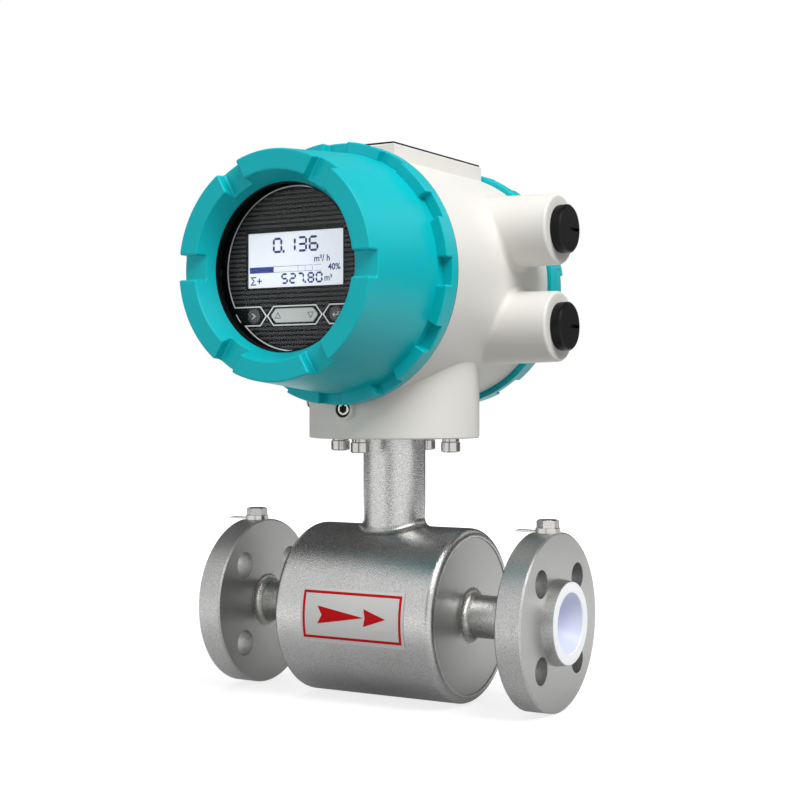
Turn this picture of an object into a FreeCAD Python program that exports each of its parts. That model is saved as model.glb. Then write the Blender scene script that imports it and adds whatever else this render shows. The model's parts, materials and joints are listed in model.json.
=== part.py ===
"""Electromagnetic flow meter with pipe flanges, a welded sensor and a display head.

The origin is on the pipe's axis, under the middle of the neck.  +X is the flow
direction, the display faces -Y and the head stands at +Z.  Sizes are millimetres.
"""
import FreeCAD, Part
import math
import os
import Sketcher
from FreeCAD import Placement, Rotation, Vector

os.makedirs("parts", exist_ok=True)
doc = FreeCAD.newDocument("FlowMeter")
sheet = doc.addObject("Spreadsheet::Sheet", "Sizes")

# Driving sizes: alias, value, what it is
SIZES = [
    ("lay_length", 200.0, "between the two metal flange faces"),
    ("flange_radius", 45.0, "outside of the flange disc"),
    ("flange_thick", 14.0, "flange disc without its raised face"),
    ("raised_radius", 21.7, "raised face at its root"),
    ("raised_height", 4.0, "how far the raised face stands out"),
    ("shoulder_height", 1.7, "steel shoulder round the liner's flare"),
    ("shoulder_wall", 0.4, "steel shoulder round the liner's flare at its edge"),
    ("flange_mouth", 18.0, "radius of the flange's flared bore at its face"),
    ("bolt_circle", 60.0, "pitch circle of the flange bolts"),
    ("bolt_hole", 14.0, "flange bolt hole, across"),
    ("bolt_count", 4.0, "flange bolts"),
    ("edge_break", 0.8, "chamfer on turned steel edges"),
    ("pipe_radius", 11.0, "outside of the measuring pipe"),
    ("pipe_bore", 8.0, "inside radius of the measuring pipe"),
    ("liner_bore", 5.0, "radius of the flow bore"),
    ("liner_mouth", 15.5, "radius of the liner's mouth at its face"),
    ("liner_lip", 2.0, "thickness of the liner's flare on the raised face"),
    ("liner_lip_radius", 20.4, "outer radius of the liner's flare"),
    ("seat_gap", 0.05, "radial gap between nested fixed pieces"),
    ("run_gap", 0.3, "gap between pieces that move past each other"),
    ("shell_radius", 45.0, "outside of the sensor shell"),
    ("shell_length", 94.0, "length of the sensor shell"),
    ("shell_wall", 4.6, "wall of the sensor shell"),
    ("shell_round", 3.8, "rounding of the shell's two rims"),
    ("end_plate_thick", 3.0, "round end plates of the sensor"),
    ("end_plate_inset", 0.4, "how far an end plate sits inside the rim"),
    ("seam_gap", 0.15, "groove between an end plate and the shell"),
    ("weld_leg", 4.0, "leg of the fillet welds"),
    ("coil_inner", 7.0, "inner radius of a field coil"),
    ("coil_outer", 17.0, "outer radius of a field coil"),
    ("coil_height", 12.0, "height of a field coil"),
    ("coil_lift", 0.6, "gap from the pipe to a coil"),
    ("core_length", 17.6, "length of a pole core"),
    ("yoke_wall", 3.0, "thickness of the return yoke"),
    ("yoke_width", 24.0, "width of the return yoke along the pipe"),
    ("electrode_radius", 1.5, "electrode pin"),
    ("electrode_length", 15.0, "electrode pin"),
    ("bush_radius", 2.5, "electrode hole in the pipe"),
    ("bush_collar", 5.0, "collar of an electrode bush"),
    ("neck_radius", 16.4, "outside of the neck pipe"),
    ("neck_wall", 3.0, "wall of the neck pipe"),
    ("base_height", 91.2, "underside of the head's base above the pipe axis"),
    ("base_radius", 45.0, "round base of the housing"),
    ("plate_radius", 41.0, "recess for the neck plate"),
    ("plate_thick", 6.0, "neck plate"),
    ("gasket_thick", 1.5, "gasket on the neck plate"),
    ("wire_passage", 13.0, "radius of the wire passage"),
    ("neck_bolt_circle", 68.0, "pitch circle of the neck bolts"),
    ("neck_bolt_radius", 3.0, "neck bolt shank"),
    ("neck_bolt_head", 5.0, "neck bolt head radius"),
    ("neck_bolt_head_height", 5.6, "neck bolt head height"),
    ("head_bevel", 0.5, "bevel of the neck bolt heads"),
    ("neck_bolt_length", 16.0, "neck bolt shank length"),
    ("neck_bolt_socket", 5.0, "hex socket across flats"),
    ("neck_bolt_count", 4.0, "neck bolts"),
    ("spring_washer_thick", 1.6, "spring washer"),
    ("spring_washer_radius", 4.4, "spring washer"),
    ("washer_split", 0.8, "gap where a spring washer is split"),
    ("head_rise", 82.8, "axis of the display head above the underside of its base"),
    ("head_radius", 62.5, "outside of the housing barrel"),
    ("barrel_front", 48.0, "housing shoulder in front of the head's middle"),
    ("barrel_rear", 57.0, "housing shoulder behind the head's middle"),
    ("collar_radius", 54.0, "threaded collars of the housing"),
    ("collar_length", 18.0, "threaded collars of the housing"),
    ("cavity_radius", 49.5, "inside of both compartments"),
    ("wall_front", 2.0, "front face of the inner wall, before the middle"),
    ("wall_rear", 4.0, "rear face of the inner wall, behind the middle"),
    ("entry_radius", 18.2, "cable entry boss at its face"),
    ("entry_draft", 1.5, "draft of the cable entry bosses in degrees"),
    ("entry_reach", 86.0, "cable entry face from the head's axis"),
    ("entry_back", 22.0, "cable entry axis behind the head's middle"),
    ("entry_rise", 25.0, "cable entry axis above and below the head's axis"),
    ("entry_bore", 10.0, "radius of the cable entry thread"),
    ("label_pad_half", 22.5, "half width of the nameplate pad"),
    ("label_pad_front", 38.0, "front end of the nameplate pad"),
    ("label_pad_rear", 56.0, "rear end of the nameplate pad"),
    ("label_pad_rise", 66.3, "top of the nameplate pad above the head's axis"),
    ("nameplate_thick", 0.9, "nameplate"),
    ("screw_rise", 15.3, "lock screw above the underside of the base"),
    ("lock_boss_radius", 5.8, "boss of the lock screw"),
    ("lock_screw_radius", 2.0, "threads of the lock and ground screws"),
    ("lock_head_radius", 3.5, "lock screw head"),
    ("lock_head_height", 3.0, "lock screw head"),
    ("lock_seat_gap", 0.8, "counterbore round the lock screw head"),
    ("screw_socket", 4.0, "hex sockets of the lock and ground screws across flats"),
    ("socket_depth", 1.5, "hex sockets of the lock and ground screws"),
    ("lock_side", 2.0, "lock screw left of the middle"),
    ("ground_rise", 20.0, "ground screw above the underside of the base"),
    ("ground_back", 10.0, "ground screw in front of the middle"),
    ("ground_reach", 44.8, "face of the ground boss from the middle"),
    ("ground_boss_radius", 5.2, "boss of the ground screw"),
    ("casting_round", 1.5, "rounded rims of the cable entries"),
    ("entry_round", 3.0, "fillets where the cable entries leave the barrel"),
    ("front_cover_length", 64.8, "joint to the front ring of the display cover"),
    ("rear_cover_length", 38.0, "joint to the end face of the rear cover"),
    ("cover_rim_radius", 65.4, "rim of both covers"),
    ("cover_rim_width", 12.0, "rim of both covers"),
    ("cover_gap", 0.7, "gap between a closed cover and the housing's shoulder"),
    ("cover_root_radius", 59.8, "cone of a cover where it meets its rim"),
    ("cover_nose_radius", 54.85, "cone of a cover at its front ring"),
    ("cover_mouth", 45.1, "inner edge of the front ring"),
    ("rim_break", 1.0, "bevel of the rim at the joint"),
    ("ring_round", 1.0, "roundings of the notched front ring"),
    ("lug_round", 0.8, "roundings of the rim between its pockets"),
    ("funnel_depth", 12.2, "front ring to the window lip"),
    ("lip_radius", 40.1, "window opening"),
    ("lip_thick", 2.0, "window lip"),
    ("notch_width", 12.0, "notches across the front ring"),
    ("notch_depth", 6.0, "notches across the front ring"),
    ("notch_count", 6.0, "notches across the front ring"),
    ("cover_turn", -1.3, "how far the covers stop short of level, degrees"),
    ("pocket_width", 13.5, "pockets in the rim"),
    ("pocket_depth", 5.3, "pockets in the rim"),
    ("pocket_count", 12.0, "pockets in the rim"),
    ("thread_gap", 0.15, "radial gap between cover and collar"),
    ("seal_section", 1.2, "radius of the cover seal's section"),
    ("seal_place", 4.5, "cover seal from the joint"),
    ("glass_radius", 46.0, "window glass"),
    ("glass_thick", 4.4, "window glass"),
    ("window_gasket_thick", 0.8, "gasket between lip and glass"),
    ("ring_inner", 44.4, "inside of the glass retaining ring"),
    ("ring_thick", 3.0, "glass retaining ring"),
    ("glass_pocket_depth", 12.6, "cover cavity behind the window lip"),
    ("panel_radius", 43.4, "display panel"),
    ("panel_thick", 2.5, "display panel"),
    ("panel_gap", 0.8, "window glass to display panel"),
    ("panel_post", 4.4, "posts between display panel and its board"),
    ("post_circle", 37.0, "pitch radius of posts and standoffs"),
    ("screen_half", 27.6, "half width of the screen window"),
    ("screen_top", 17.9, "top of the screen window above the axis"),
    ("screen_bottom", -8.7, "bottom of the screen window"),
    ("screen_margin", 2.2, "screen module beyond its window"),
    ("screen_depth", 3.6, "screen module"),
    ("key_height", -22.4, "middle of the keys relative to the axis"),
    ("key_side", 23.7, "round keys left and right of the middle"),
    ("key_radius", 3.4, "round keys"),
    ("key_travel", 0.6, "how far a round key goes in"),
    ("key_proud", 0.35, "how far the keys stand out of the panel"),
    ("rocker_half", 13.6, "half length of the rocker key"),
    ("rocker_width", 6.8, "rocker key across"),
    ("rocker_flat", 10.6, "half length of the rocker's straight sides"),
    ("board_radius", 42.0, "display board"),
    ("board_thick", 1.6, "circuit boards"),
    ("main_board_radius", 47.0, "main and power boards"),
    ("rear_standoff", 28.0, "inner wall to power board"),
    ("mid_standoff", 26.8, "power board to main board"),
    ("standoff_radius", 3.0, "standoffs"),
    ("plug_radius", 12.5, "head of a cable plug"),
    ("plug_head", 4.6, "head of a cable plug"),
    ("plug_shank", 10.0, "thread of a cable plug"),
    ("plug_seal_thick", 1.0, "seal under a cable plug"),
    ("slot_width", 1.7, "screwdriver slot"),
    ("slot_depth", 1.6, "screwdriver slot"),
    ("ground_flat", 0.4, "flat milled on top of each flange"),
    ("tab_ring", 6.5, "radius of a ground tab's eye"),
    ("tab_reach", 17.0, "ground tab from its bolt to its free end"),
    ("tab_thick", 1.0, "ground tab"),
    ("hex_flats", 10.0, "ground bolt head across flats"),
    ("hex_height", 4.2, "ground bolt head"),
    ("washer_radius", 6.3, "ground bolt washer"),
    ("washer_thick", 1.4, "ground bolt washer"),
    ("stud_radius", 3.0, "ground bolt thread"),
    ("stud_length", 10.0, "ground bolt thread"),
    ("label_width", 61.0, "flow arrow label along the shell"),
    ("label_height", 27.5, "flow arrow label round the shell"),
    ("label_thick", 0.2, "flow arrow label"),
    ("label_middle", 1.3, "flow arrow label's middle along the pipe"),
    ("thread_bevel", 1.0, "bevel at the collar ends"),
    ("lock_screw_length", 5.5, "lock and ground screw threads"),
    ("screw_sink", 0.4, "lock screw below its boss"),
    ("ground_head_radius", 4.2, "ground screw head"),
    ("ground_head_height", 1.8, "ground screw head"),
    ("ground_washer_radius", 5.0, "washer of the ground screw"),
    ("ground_washer_thick", 0.8, "washer of the ground screw"),
    ("ear_thick", 2.0, "ears that hold the rocker's pin"),
    ("ear_half", 2.0, "half width of the ears and the rocker's hub"),
    ("pin_depth", 1.6, "rocker pin behind the panel"),
    ("pin_radius", 0.8, "rocker pin"),
    ("stem_radius", 1.2, "feet of the keys"),
    ("switch_side", 10.0, "rocker switches from the middle"),
    ("switch_half", 2.5, "half width of a key switch"),
    ("switch_height", 1.5, "key switch"),
    ("terminal_half", 27.0, "half length of the terminal block"),
    ("terminal_height", 12.0, "terminal block"),
    ("terminal_screw", 3.0, "terminal screw heads"),
    ("slot_start", 0.6, "screwdriver slot from the plug's middle"),
    ("slot_end", 11.0, "outer end of the screwdriver slot"),
    ("tongue_width", 5.0, "tongue of a ground tab"),
    ("tab_offset", 0.5, "ground bolt beyond the middle of the flange disc"),
    ("cut_past", 1.0, "how far a cut runs past the solid"),
    ("thread_runout", 1.0, "tapped hole beyond the end of its screw"),
    ("throat_inset", 2.0, "liner flare starts this far inside the flange"),
    ("nut_thick", 2.4, "electrode nut, and the bush collar under it"),
    ("core_step", 1.0, "step of a pole core above its coil"),
    ("label_gap", 0.12, "adhesive under the flow arrow label"),
    ("label_rise", 1.2, "flow arrow label's middle above the pipe axis"),
    ("collar_room", 2.0, "cover cavity beyond the collar's end"),
    ("notch_floor", 1.0, "rear cover's face below its notches"),
    ("mouth_slope", 3.0, "slope inside the rear cover's ring"),
    ("gasket_edge", 1.4, "window gasket back from the lip's edge"),
    ("post_radius", 2.5, "posts behind the display panel"),
    ("pin_wall", 0.8, "material around the rocker pin"),
    ("key_collar", 1.0, "collar of a round key"),
    ("pane_inset", 0.5, "screen behind the panel's front"),
    ("core_half", 17.0, "half width of the transformer's core"),
    ("core_high", 14.0, "half height of the transformer's core"),
    ("core_deep", 16.0, "transformer's core"),
    ("winding_half", 10.0, "half width of the transformer's winding"),
    ("winding_high", 18.0, "half height of the transformer's winding"),
    ("winding_lift", 2.0, "winding above the power board"),
    ("terminal_width", 16.0, "terminal block across"),
]


class Size:
    """A value with the sheet expression that it comes from."""

    def __init__(self, text, value):
        self.text = text
        self.value = value

    def joined(self, sign, other, value):
        return Size(f"({self.text} {sign} {as_size(other).text})", value)

    def __add__(self, other):
        return self.joined("+", other, self.value + as_size(other).value)

    def __sub__(self, other):
        return self.joined("-", other, self.value - as_size(other).value)

    def __mul__(self, other):
        return self.joined("*", other, self.value * as_size(other).value)

    def __truediv__(self, other):
        return self.joined("/", other, self.value / as_size(other).value)

    def __radd__(self, other):
        return as_size(other) + self

    def __rsub__(self, other):
        return as_size(other) - self

    def __rmul__(self, other):
        return as_size(other) * self

    def __neg__(self):
        return as_size(0) - self


def as_size(thing):
    """A plain number becomes a Size too."""
    if isinstance(thing, Size):
        return thing
    return Size(f"({float(thing)})", float(thing))


class Sheet:
    """Each alias of the sheet as an attribute."""


d = Sheet()
for row, (alias, value, note) in enumerate(SIZES, start=1):
    sheet.set(f"A{row}", alias)
    sheet.set(f"B{row}", str(value))
    sheet.set(f"C{row}", note)
    sheet.setAlias(f"B{row}", alias)
    setattr(d, alias, Size(f"Sizes.{alias}", value))
doc.recompute()

pieces = []


def bind(thing, prop, size):
    """Ties one property to the sheet."""
    thing.setExpression(prop, as_size(size).text)


def place(thing, x=0, y=0, z=0, axis=Vector(0, 0, 1), turn=0):
    """Puts a piece at x, y, z, turned about axis by turn degrees."""
    thing.Placement = Placement(Vector(0, 0, 0), Rotation(axis, as_size(turn).value))
    if isinstance(turn, Size):
        bind(thing, ".Placement.Rotation.Angle", turn)
    bind(thing, ".Placement.Base.x", x)
    bind(thing, ".Placement.Base.y", y)
    bind(thing, ".Placement.Base.z", z)


def new_body(label):
    """A body that may hold several separate solids."""
    body = doc.addObject("PartDesign::Body", label)
    body.Label = label
    body.AllowCompound = True
    pieces.append(body)
    return body


def origin_part(body, role):
    """One of the body's own planes or axes."""
    return next(item for item in body.Origin.OriginFeatures if item.Role == role)


def sketch_on(body, role, name, offset=0, turn=0):
    """A sketch on one of the body's origin planes, moved along its normal."""
    sketch = body.newObject("Sketcher::SketchObject", name)
    sketch.AttachmentSupport = [(origin_part(body, role), "")]
    sketch.MapMode = "FlatFace"
    turned = Rotation(Vector(0, 0, 1), as_size(turn).value)
    sketch.AttachmentOffset = Placement(Vector(0, 0, as_size(offset).value), turned)
    if isinstance(offset, Size):
        bind(sketch, ".AttachmentOffset.Base.z", offset)
    if isinstance(turn, Size):
        bind(sketch, ".AttachmentOffset.Rotation.Angle", turn)
    return sketch


def tie_point(sketch, edge, end, u, v):
    """Holds one point of a sketch at u, v from the sketch's origin."""
    for kind, axis, size in (("DistanceX", -2, u), ("DistanceY", -1, v)):
        if not isinstance(size, Size) and size == 0:
            sketch.addConstraint(Sketcher.Constraint("PointOnObject", edge, end, axis))
            continue
        size = as_size(size)
        rule = Sketcher.Constraint(kind, -1, 1, edge, end, size.value)
        number = sketch.addConstraint(rule)
        bind(sketch, f"Constraints[{number}]", size)


def polygon(sketch, points):
    """A closed outline of straight edges through the given points."""
    first = sketch.GeometryCount
    corners = [Vector(as_size(u).value, as_size(v).value, 0) for u, v in points]
    count = len(points)
    for number in range(count):
        sketch.addGeometry(Part.LineSegment(corners[number], corners[(number + 1) % count]))
    for number in range(count):
        after = first + (number + 1) % count
        sketch.addConstraint(Sketcher.Constraint("Coincident", first + number, 2, after, 1))
    for number, (u, v) in enumerate(points):
        tie_point(sketch, first + number, 1, u, v)


def circle(sketch, u, v, radius):
    """A circle about u, v."""
    number = sketch.GeometryCount
    middle = Vector(as_size(u).value, as_size(v).value, 0)
    sketch.addGeometry(Part.Circle(middle, Vector(0, 0, 1), as_size(radius).value))
    tie_point(sketch, number, 3, u, v)
    rule = sketch.addConstraint(Sketcher.Constraint("Radius", number, as_size(radius).value))
    bind(sketch, f"Constraints[{rule}]", radius)


def rectangle(sketch, u_low, v_low, u_high, v_high):
    """A rectangle between two opposite corners."""
    polygon(sketch, [(u_low, v_low), (u_high, v_low), (u_high, v_high), (u_low, v_high)])


def hexagon(sketch, u, v, flats):
    """A regular hexagon about u, v, given across its flats."""
    half = as_size(flats) / 2
    points = []
    for number in range(6):
        angle = math.radians(60 * number + 30)
        corner = half / math.cos(math.radians(30))
        points.append((corner * math.cos(angle) + u, corner * math.sin(angle) + v))
    polygon(sketch, points)


def volume(body):
    """Volume of the body as it stands."""
    return body.Shape.Volume if body.Tip else 0.0


def changed(body, before, feature):
    """Every feature has to add or take something."""
    doc.recompute()
    after = body.Shape.Volume
    if abs(after - before) < 1e-6:
        raise RuntimeError(f"{feature.Name} changes nothing")
    return feature


def revolve(body, sketch, axis="H_Axis", cut=False):
    """Turns a sketch about one of its own axes."""
    before = volume(body)
    kind = "PartDesign::Groove" if cut else "PartDesign::Revolution"
    feature = body.newObject(kind, sketch.Name + "_turned")
    feature.Profile = sketch
    feature.ReferenceAxis = (sketch, [axis])
    feature.Angle = 360
    return changed(body, before, feature)


def extrude(body, sketch, length, cut=False, back=False, both=False, draft=0):
    """Pads or pockets a sketch along its normal, or against it."""
    before = volume(body)
    kind = "PartDesign::Pocket" if cut else "PartDesign::Pad"
    feature = body.newObject(kind, sketch.Name + "_run")
    feature.Profile = sketch
    feature.Length = as_size(length).value
    bind(feature, "Length", length)
    feature.Reversed = back
    if both:
        feature.SideType = "Symmetric"
    if draft:
        feature.TaperAngle = as_size(draft).value
        bind(feature, "TaperAngle", draft)
    return changed(body, before, feature)


def repeat_round(body, feature, role, count):
    """Repeats a feature evenly round one of the body's axes."""
    before = volume(body)
    features = feature if isinstance(feature, list) else [feature]
    pattern = body.newObject("PartDesign::PolarPattern", features[-1].Name + "_ring")
    pattern.Originals = features
    pattern.Axis = (origin_part(body, role), [""])
    pattern.Angle = 360
    pattern.Occurrences = int(as_size(count).value)
    bind(pattern, "Occurrences", count)
    body.Tip = pattern
    return changed(body, before, pattern)


def soften(body, name, radius, wanted, flat=False):
    """Rounds, or chamfers where flat, each edge that the test wants."""
    before = volume(body)
    base = body.Tip
    names = [f"Edge{n}" for n, edge in enumerate(base.Shape.Edges, 1) if wanted(edge)]
    feature = body.newObject("PartDesign::Chamfer" if flat else "PartDesign::Fillet", name)
    feature.Base = (base, names)
    prop = "Size" if flat else "Radius"
    setattr(feature, prop, as_size(radius).value)
    bind(feature, prop, radius)
    return changed(body, before, feature)


def ring_at(radius, axis=None, at=None):
    """Test for a circle of a radius, at a place along one axis if given."""
    radius = as_size(radius).value

    def wanted(edge):
        if not isinstance(edge.Curve, Part.Circle):
            return False
        if abs(edge.Curve.Radius - radius) > 1e-4:
            return False
        if axis is None:
            return True
        return abs(getattr(edge.Curve.Center, axis) - as_size(at).value) < 1e-4

    return wanted


def lathe(label, points, along="X", **where):
    """A body turned about X, Y or Z from an outline of (along, radius) points."""
    body = new_body(label)
    plane = {"X": "XZ_Plane", "Y": "YZ_Plane", "Z": "XZ_Plane"}[along]
    sketch = sketch_on(body, plane, label + "_outline")
    if along == "Z":
        polygon(sketch, [(radius, run) for run, radius in points])
        revolve(body, sketch, "V_Axis")
    else:
        polygon(sketch, points)
        revolve(body, sketch)
    place(body, **where)
    return body


def tube(label, inner, outer, low, high, along="X", **where):
    """A plain tube or ring between two places along its axis."""
    points = [(low, inner), (low, outer), (high, outer), (high, inner)]
    return lathe(label, points, along, **where)


# Places worked out from the driving sizes
flange_face = d.lay_length / 2
flange_back = flange_face - d.flange_thick - d.raised_height
shell_half = d.shell_length / 2
shell_bore = d.shell_radius - d.shell_wall
end_plate_face = shell_half - d.end_plate_inset
bolt_place = d.bolt_circle / (2 * math.sqrt(2))
tab_bolt = flange_back + d.flange_thick / 2 + d.tab_offset
flat_height = d.flange_radius - d.ground_flat
head_height = d.base_height + d.head_rise
screw_drop = d.head_rise - d.screw_rise
ground_drop = d.head_rise - d.ground_rise


def pipe_flange(label, turn):
    """One flange: disc, raised face with a seat for the liner, bolt holes and tapped hole."""
    raised_top = d.flange_thick + d.raised_height
    lip_seat = d.liner_lip_radius + d.seat_gap
    body = lathe(label, [
        (0, d.pipe_bore),
        (0, d.flange_radius),
        (d.flange_thick, d.flange_radius),
        (d.flange_thick, d.raised_radius),
        (raised_top + d.shoulder_height, lip_seat + d.shoulder_wall),
        (raised_top + d.shoulder_height, lip_seat),
        (raised_top, lip_seat),
        (raised_top, d.flange_mouth),
    ])
    soften(body, label + "_chamfer", d.edge_break, ring_at(d.flange_radius), flat=True)
    holes = sketch_on(body, "YZ_Plane", label + "_holes")
    circle(holes, bolt_place, bolt_place, d.bolt_hole / 2)
    drilled = extrude(body, holes, d.flange_thick, cut=True, back=True)
    repeat_round(body, drilled, "X_Axis", d.bolt_count)
    spot = sketch_on(body, "YZ_Plane", label + "_spot")
    half = d.tab_ring + d.run_gap
    rectangle(spot, -half, flat_height, half, d.flange_radius + d.cut_past)
    extrude(body, spot, d.flange_thick, cut=True, back=True)
    tapped = sketch_on(body, "XY_Plane", label + "_tapped", flat_height)
    circle(tapped, tab_bolt - flange_back, 0, d.stud_radius + d.seat_gap)
    extrude(body, tapped, d.stud_length + d.thread_runout, cut=True)
    side = 1 if turn == 0 else -1
    place(body, x=flange_back * side, turn=turn)


pipe_flange("outlet_flange", 0)
pipe_flange("inlet_flange", 180)

# Measuring pipe, with the two electrode holes across it
pipe = tube("measuring_pipe", d.pipe_bore, d.pipe_radius, -flange_back, flange_back)
cross = sketch_on(pipe, "XZ_Plane", "electrode_holes")
circle(cross, 0, 0, d.bush_radius)
extrude(pipe, cross, d.pipe_radius * 3, cut=True, both=True)

# Liner: a straight tube, and a flared mouth with a lip in each flange
throat = flange_back - d.throat_inset
lip_face = flange_face + d.liner_lip
liner = tube("liner", d.liner_bore, d.pipe_bore - d.seat_gap, -throat, throat)
for side, name in ((-1, "inlet_liner_mouth"), (1, "outlet_liner_mouth")):
    lathe(name, [
        ((throat + d.seat_gap) * side, d.liner_bore),
        ((throat + d.seat_gap) * side, d.pipe_bore - d.seat_gap),
        (flange_back * side, d.pipe_bore - d.seat_gap),
        (flange_face * side, d.flange_mouth - d.seat_gap),
        (flange_face * side, d.liner_lip_radius),
        (lip_face * side, d.liner_lip_radius),
        (lip_face * side, d.liner_mouth),
    ])
pin_holes = sketch_on(liner, "XZ_Plane", "liner_pin_holes")
circle(pin_holes, 0, 0, d.electrode_radius + d.seat_gap)
extrude(liner, pin_holes, d.pipe_radius * 3, cut=True, both=True)


def mirrored_pair(label, points, along="Y", role="X_Axis"):
    """Two like solids opposite each other, turned about their common axis."""
    body = new_body(label)
    plane = "YZ_Plane" if along == "Y" else "XZ_Plane"
    sketch = sketch_on(body, plane, label + "_outline")
    if along == "Z":
        polygon(sketch, [(radius, run) for run, radius in points])
        turned = revolve(body, sketch, "V_Axis")
    else:
        polygon(sketch, points)
        turned = revolve(body, sketch)
    repeat_round(body, turned, role, 2)
    return body


# Electrodes: pins with a nut at the outer end, in insulating bushes
pin_tip = d.liner_bore + d.seat_gap
pin_end = pin_tip + d.electrode_length
nut_low = d.pipe_radius + d.nut_thick
mirrored_pair("electrodes", [
    (pin_tip, 0),
    (pin_tip, d.electrode_radius),
    (nut_low, d.electrode_radius),
    (nut_low, d.electrode_radius * 2),
    (nut_low + d.nut_thick, d.electrode_radius * 2),
    (nut_low + d.nut_thick, d.electrode_radius),
    (pin_end, d.electrode_radius),
    (pin_end, 0),
])
mirrored_pair("electrode_bushes", [
    (d.pipe_bore + d.seat_gap * 2, d.electrode_radius + d.seat_gap),
    (d.pipe_bore + d.seat_gap * 2, d.bush_radius - d.seat_gap),
    (d.pipe_radius + d.seat_gap * 2, d.bush_radius - d.seat_gap),
    (d.pipe_radius + d.seat_gap * 2, d.bush_collar),
    (nut_low - d.seat_gap * 2, d.bush_collar),
    (nut_low - d.seat_gap * 2, d.electrode_radius + d.seat_gap),
])

# Field coils above and below the pipe, their pole cores and the return yoke
coil_low = d.pipe_radius + d.coil_lift
coil_high = coil_low + d.coil_height
core_low = d.pipe_radius + d.seat_gap * 4
core_high = core_low + d.core_length
yoke_bore = core_high + d.coil_lift
mirrored_pair("field_coils", [
    (coil_low, d.coil_inner),
    (coil_low, d.coil_outer),
    (coil_high, d.coil_outer),
    (coil_high, d.coil_inner),
], "Z")
mirrored_pair("pole_cores", [
    (core_low, 0),
    (core_low, d.coil_inner - d.seat_gap * 2),
    (coil_high + d.seat_gap * 4, d.coil_inner - d.seat_gap * 2),
    (coil_high + d.seat_gap * 4, d.coil_inner - d.core_step),
    (core_high, d.coil_inner - d.core_step),
    (core_high, 0),
], "Z")
yoke_half = d.yoke_width / 2
tube("return_yoke", yoke_bore, yoke_bore + d.yoke_wall, -yoke_half, yoke_half)

# Sensor shell with rounded rims and the wire hole under the neck
shell = tube("sensor_shell", shell_bore, d.shell_radius, -shell_half, shell_half)
soften(shell, "shell_rims", d.shell_round, ring_at(d.shell_radius))
wires = sketch_on(shell, "XY_Plane", "shell_wire_hole")
circle(wires, 0, 0, d.wire_passage)
extrude(shell, wires, d.shell_radius + d.cut_past, cut=True, back=True)

for side, name in ((-1, "inlet_end_plate"), (1, "outlet_end_plate")):
    tube(
        name,
        d.pipe_radius + d.seat_gap,
        shell_bore - d.seam_gap,
        (end_plate_face - d.end_plate_thick) * side,
        end_plate_face * side,
    )


def weld_pair(label, root_place, outward):
    """Two like weld beads, with the hollow face of a fillet weld."""
    beads = []
    for side in (-1, 1):
        block = tube_shape(f"{label}_block_{side}", side, root_place, outward)
        beads.append(block)
    group = doc.addObject("Part::Compound", label)
    group.Label = label
    group.Links = beads
    pieces.append(group)


def tube_shape(name, side, root_place, outward):
    """A square ring round the pipe with its outer corner scooped by a torus."""
    inner = d.pipe_radius + d.seat_gap
    way = side * outward
    ring = doc.addObject("Part::Cylinder", name + "_ring")
    bind(ring, "Radius", inner + d.weld_leg)
    bind(ring, "Height", d.weld_leg)
    core = doc.addObject("Part::Cylinder", name + "_core")
    bind(core, "Radius", inner)
    bind(core, "Height", d.weld_leg)
    scoop = doc.addObject("Part::Torus", name + "_scoop")
    bind(scoop, "Radius1", inner + d.weld_leg)
    bind(scoop, "Radius2", d.weld_leg)
    start = root_place * side
    axis = Vector(0, 1, 0)
    for solid in (ring, core):
        place(solid, x=start, axis=axis, turn=90 * way)
    place(scoop, x=start + d.weld_leg * way, axis=axis, turn=90 * way)
    hollow = doc.addObject("Part::Cut", name + "_hollow")
    hollow.Base = ring
    hollow.Tool = core
    bead = doc.addObject("Part::Cut", name)
    bead.Base = hollow
    bead.Tool = scoop
    return bead


weld_pair("end_plate_welds", end_plate_face, 1)
weld_pair("flange_welds", flange_back, -1)

# Flow arrow label: a thin film bent round the front of the shell
film = new_body("flow_label")
film_sketch = sketch_on(film, "YZ_Plane", "label_film", d.label_middle)
circle(film_sketch, 0, 0, d.shell_radius + d.label_gap + d.label_thick)
circle(film_sketch, 0, 0, d.shell_radius + d.label_gap)
extrude(film, film_sketch, d.label_width, both=True)
label_top = d.label_rise + d.label_height / 2
label_foot = d.label_rise - d.label_height / 2
trim = sketch_on(film, "YZ_Plane", "label_trim", d.label_middle)
reach = d.shell_radius + d.cut_past
polygon(trim, [
    (-reach, label_top),
    (-reach, reach),
    (reach, reach),
    (reach, -reach),
    (-reach, -reach),
    (-reach, label_foot),
    (-d.cut_past, label_foot),
    (-d.cut_past, label_top),
])
extrude(film, trim, d.label_width + d.cut_past, cut=True, both=True)

# Neck pipe, cut to the curve of the shell
plate_low = d.base_height
neck_bore = d.neck_radius - d.neck_wall
neck = tube("neck_pipe", neck_bore, d.neck_radius, d.shell_radius / 2, plate_low, "Z")
saddle = sketch_on(neck, "YZ_Plane", "neck_saddle")
circle(saddle, 0, 0, d.shell_radius + d.seat_gap)
extrude(neck, saddle, d.neck_radius * 3, cut=True, both=True)


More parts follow.
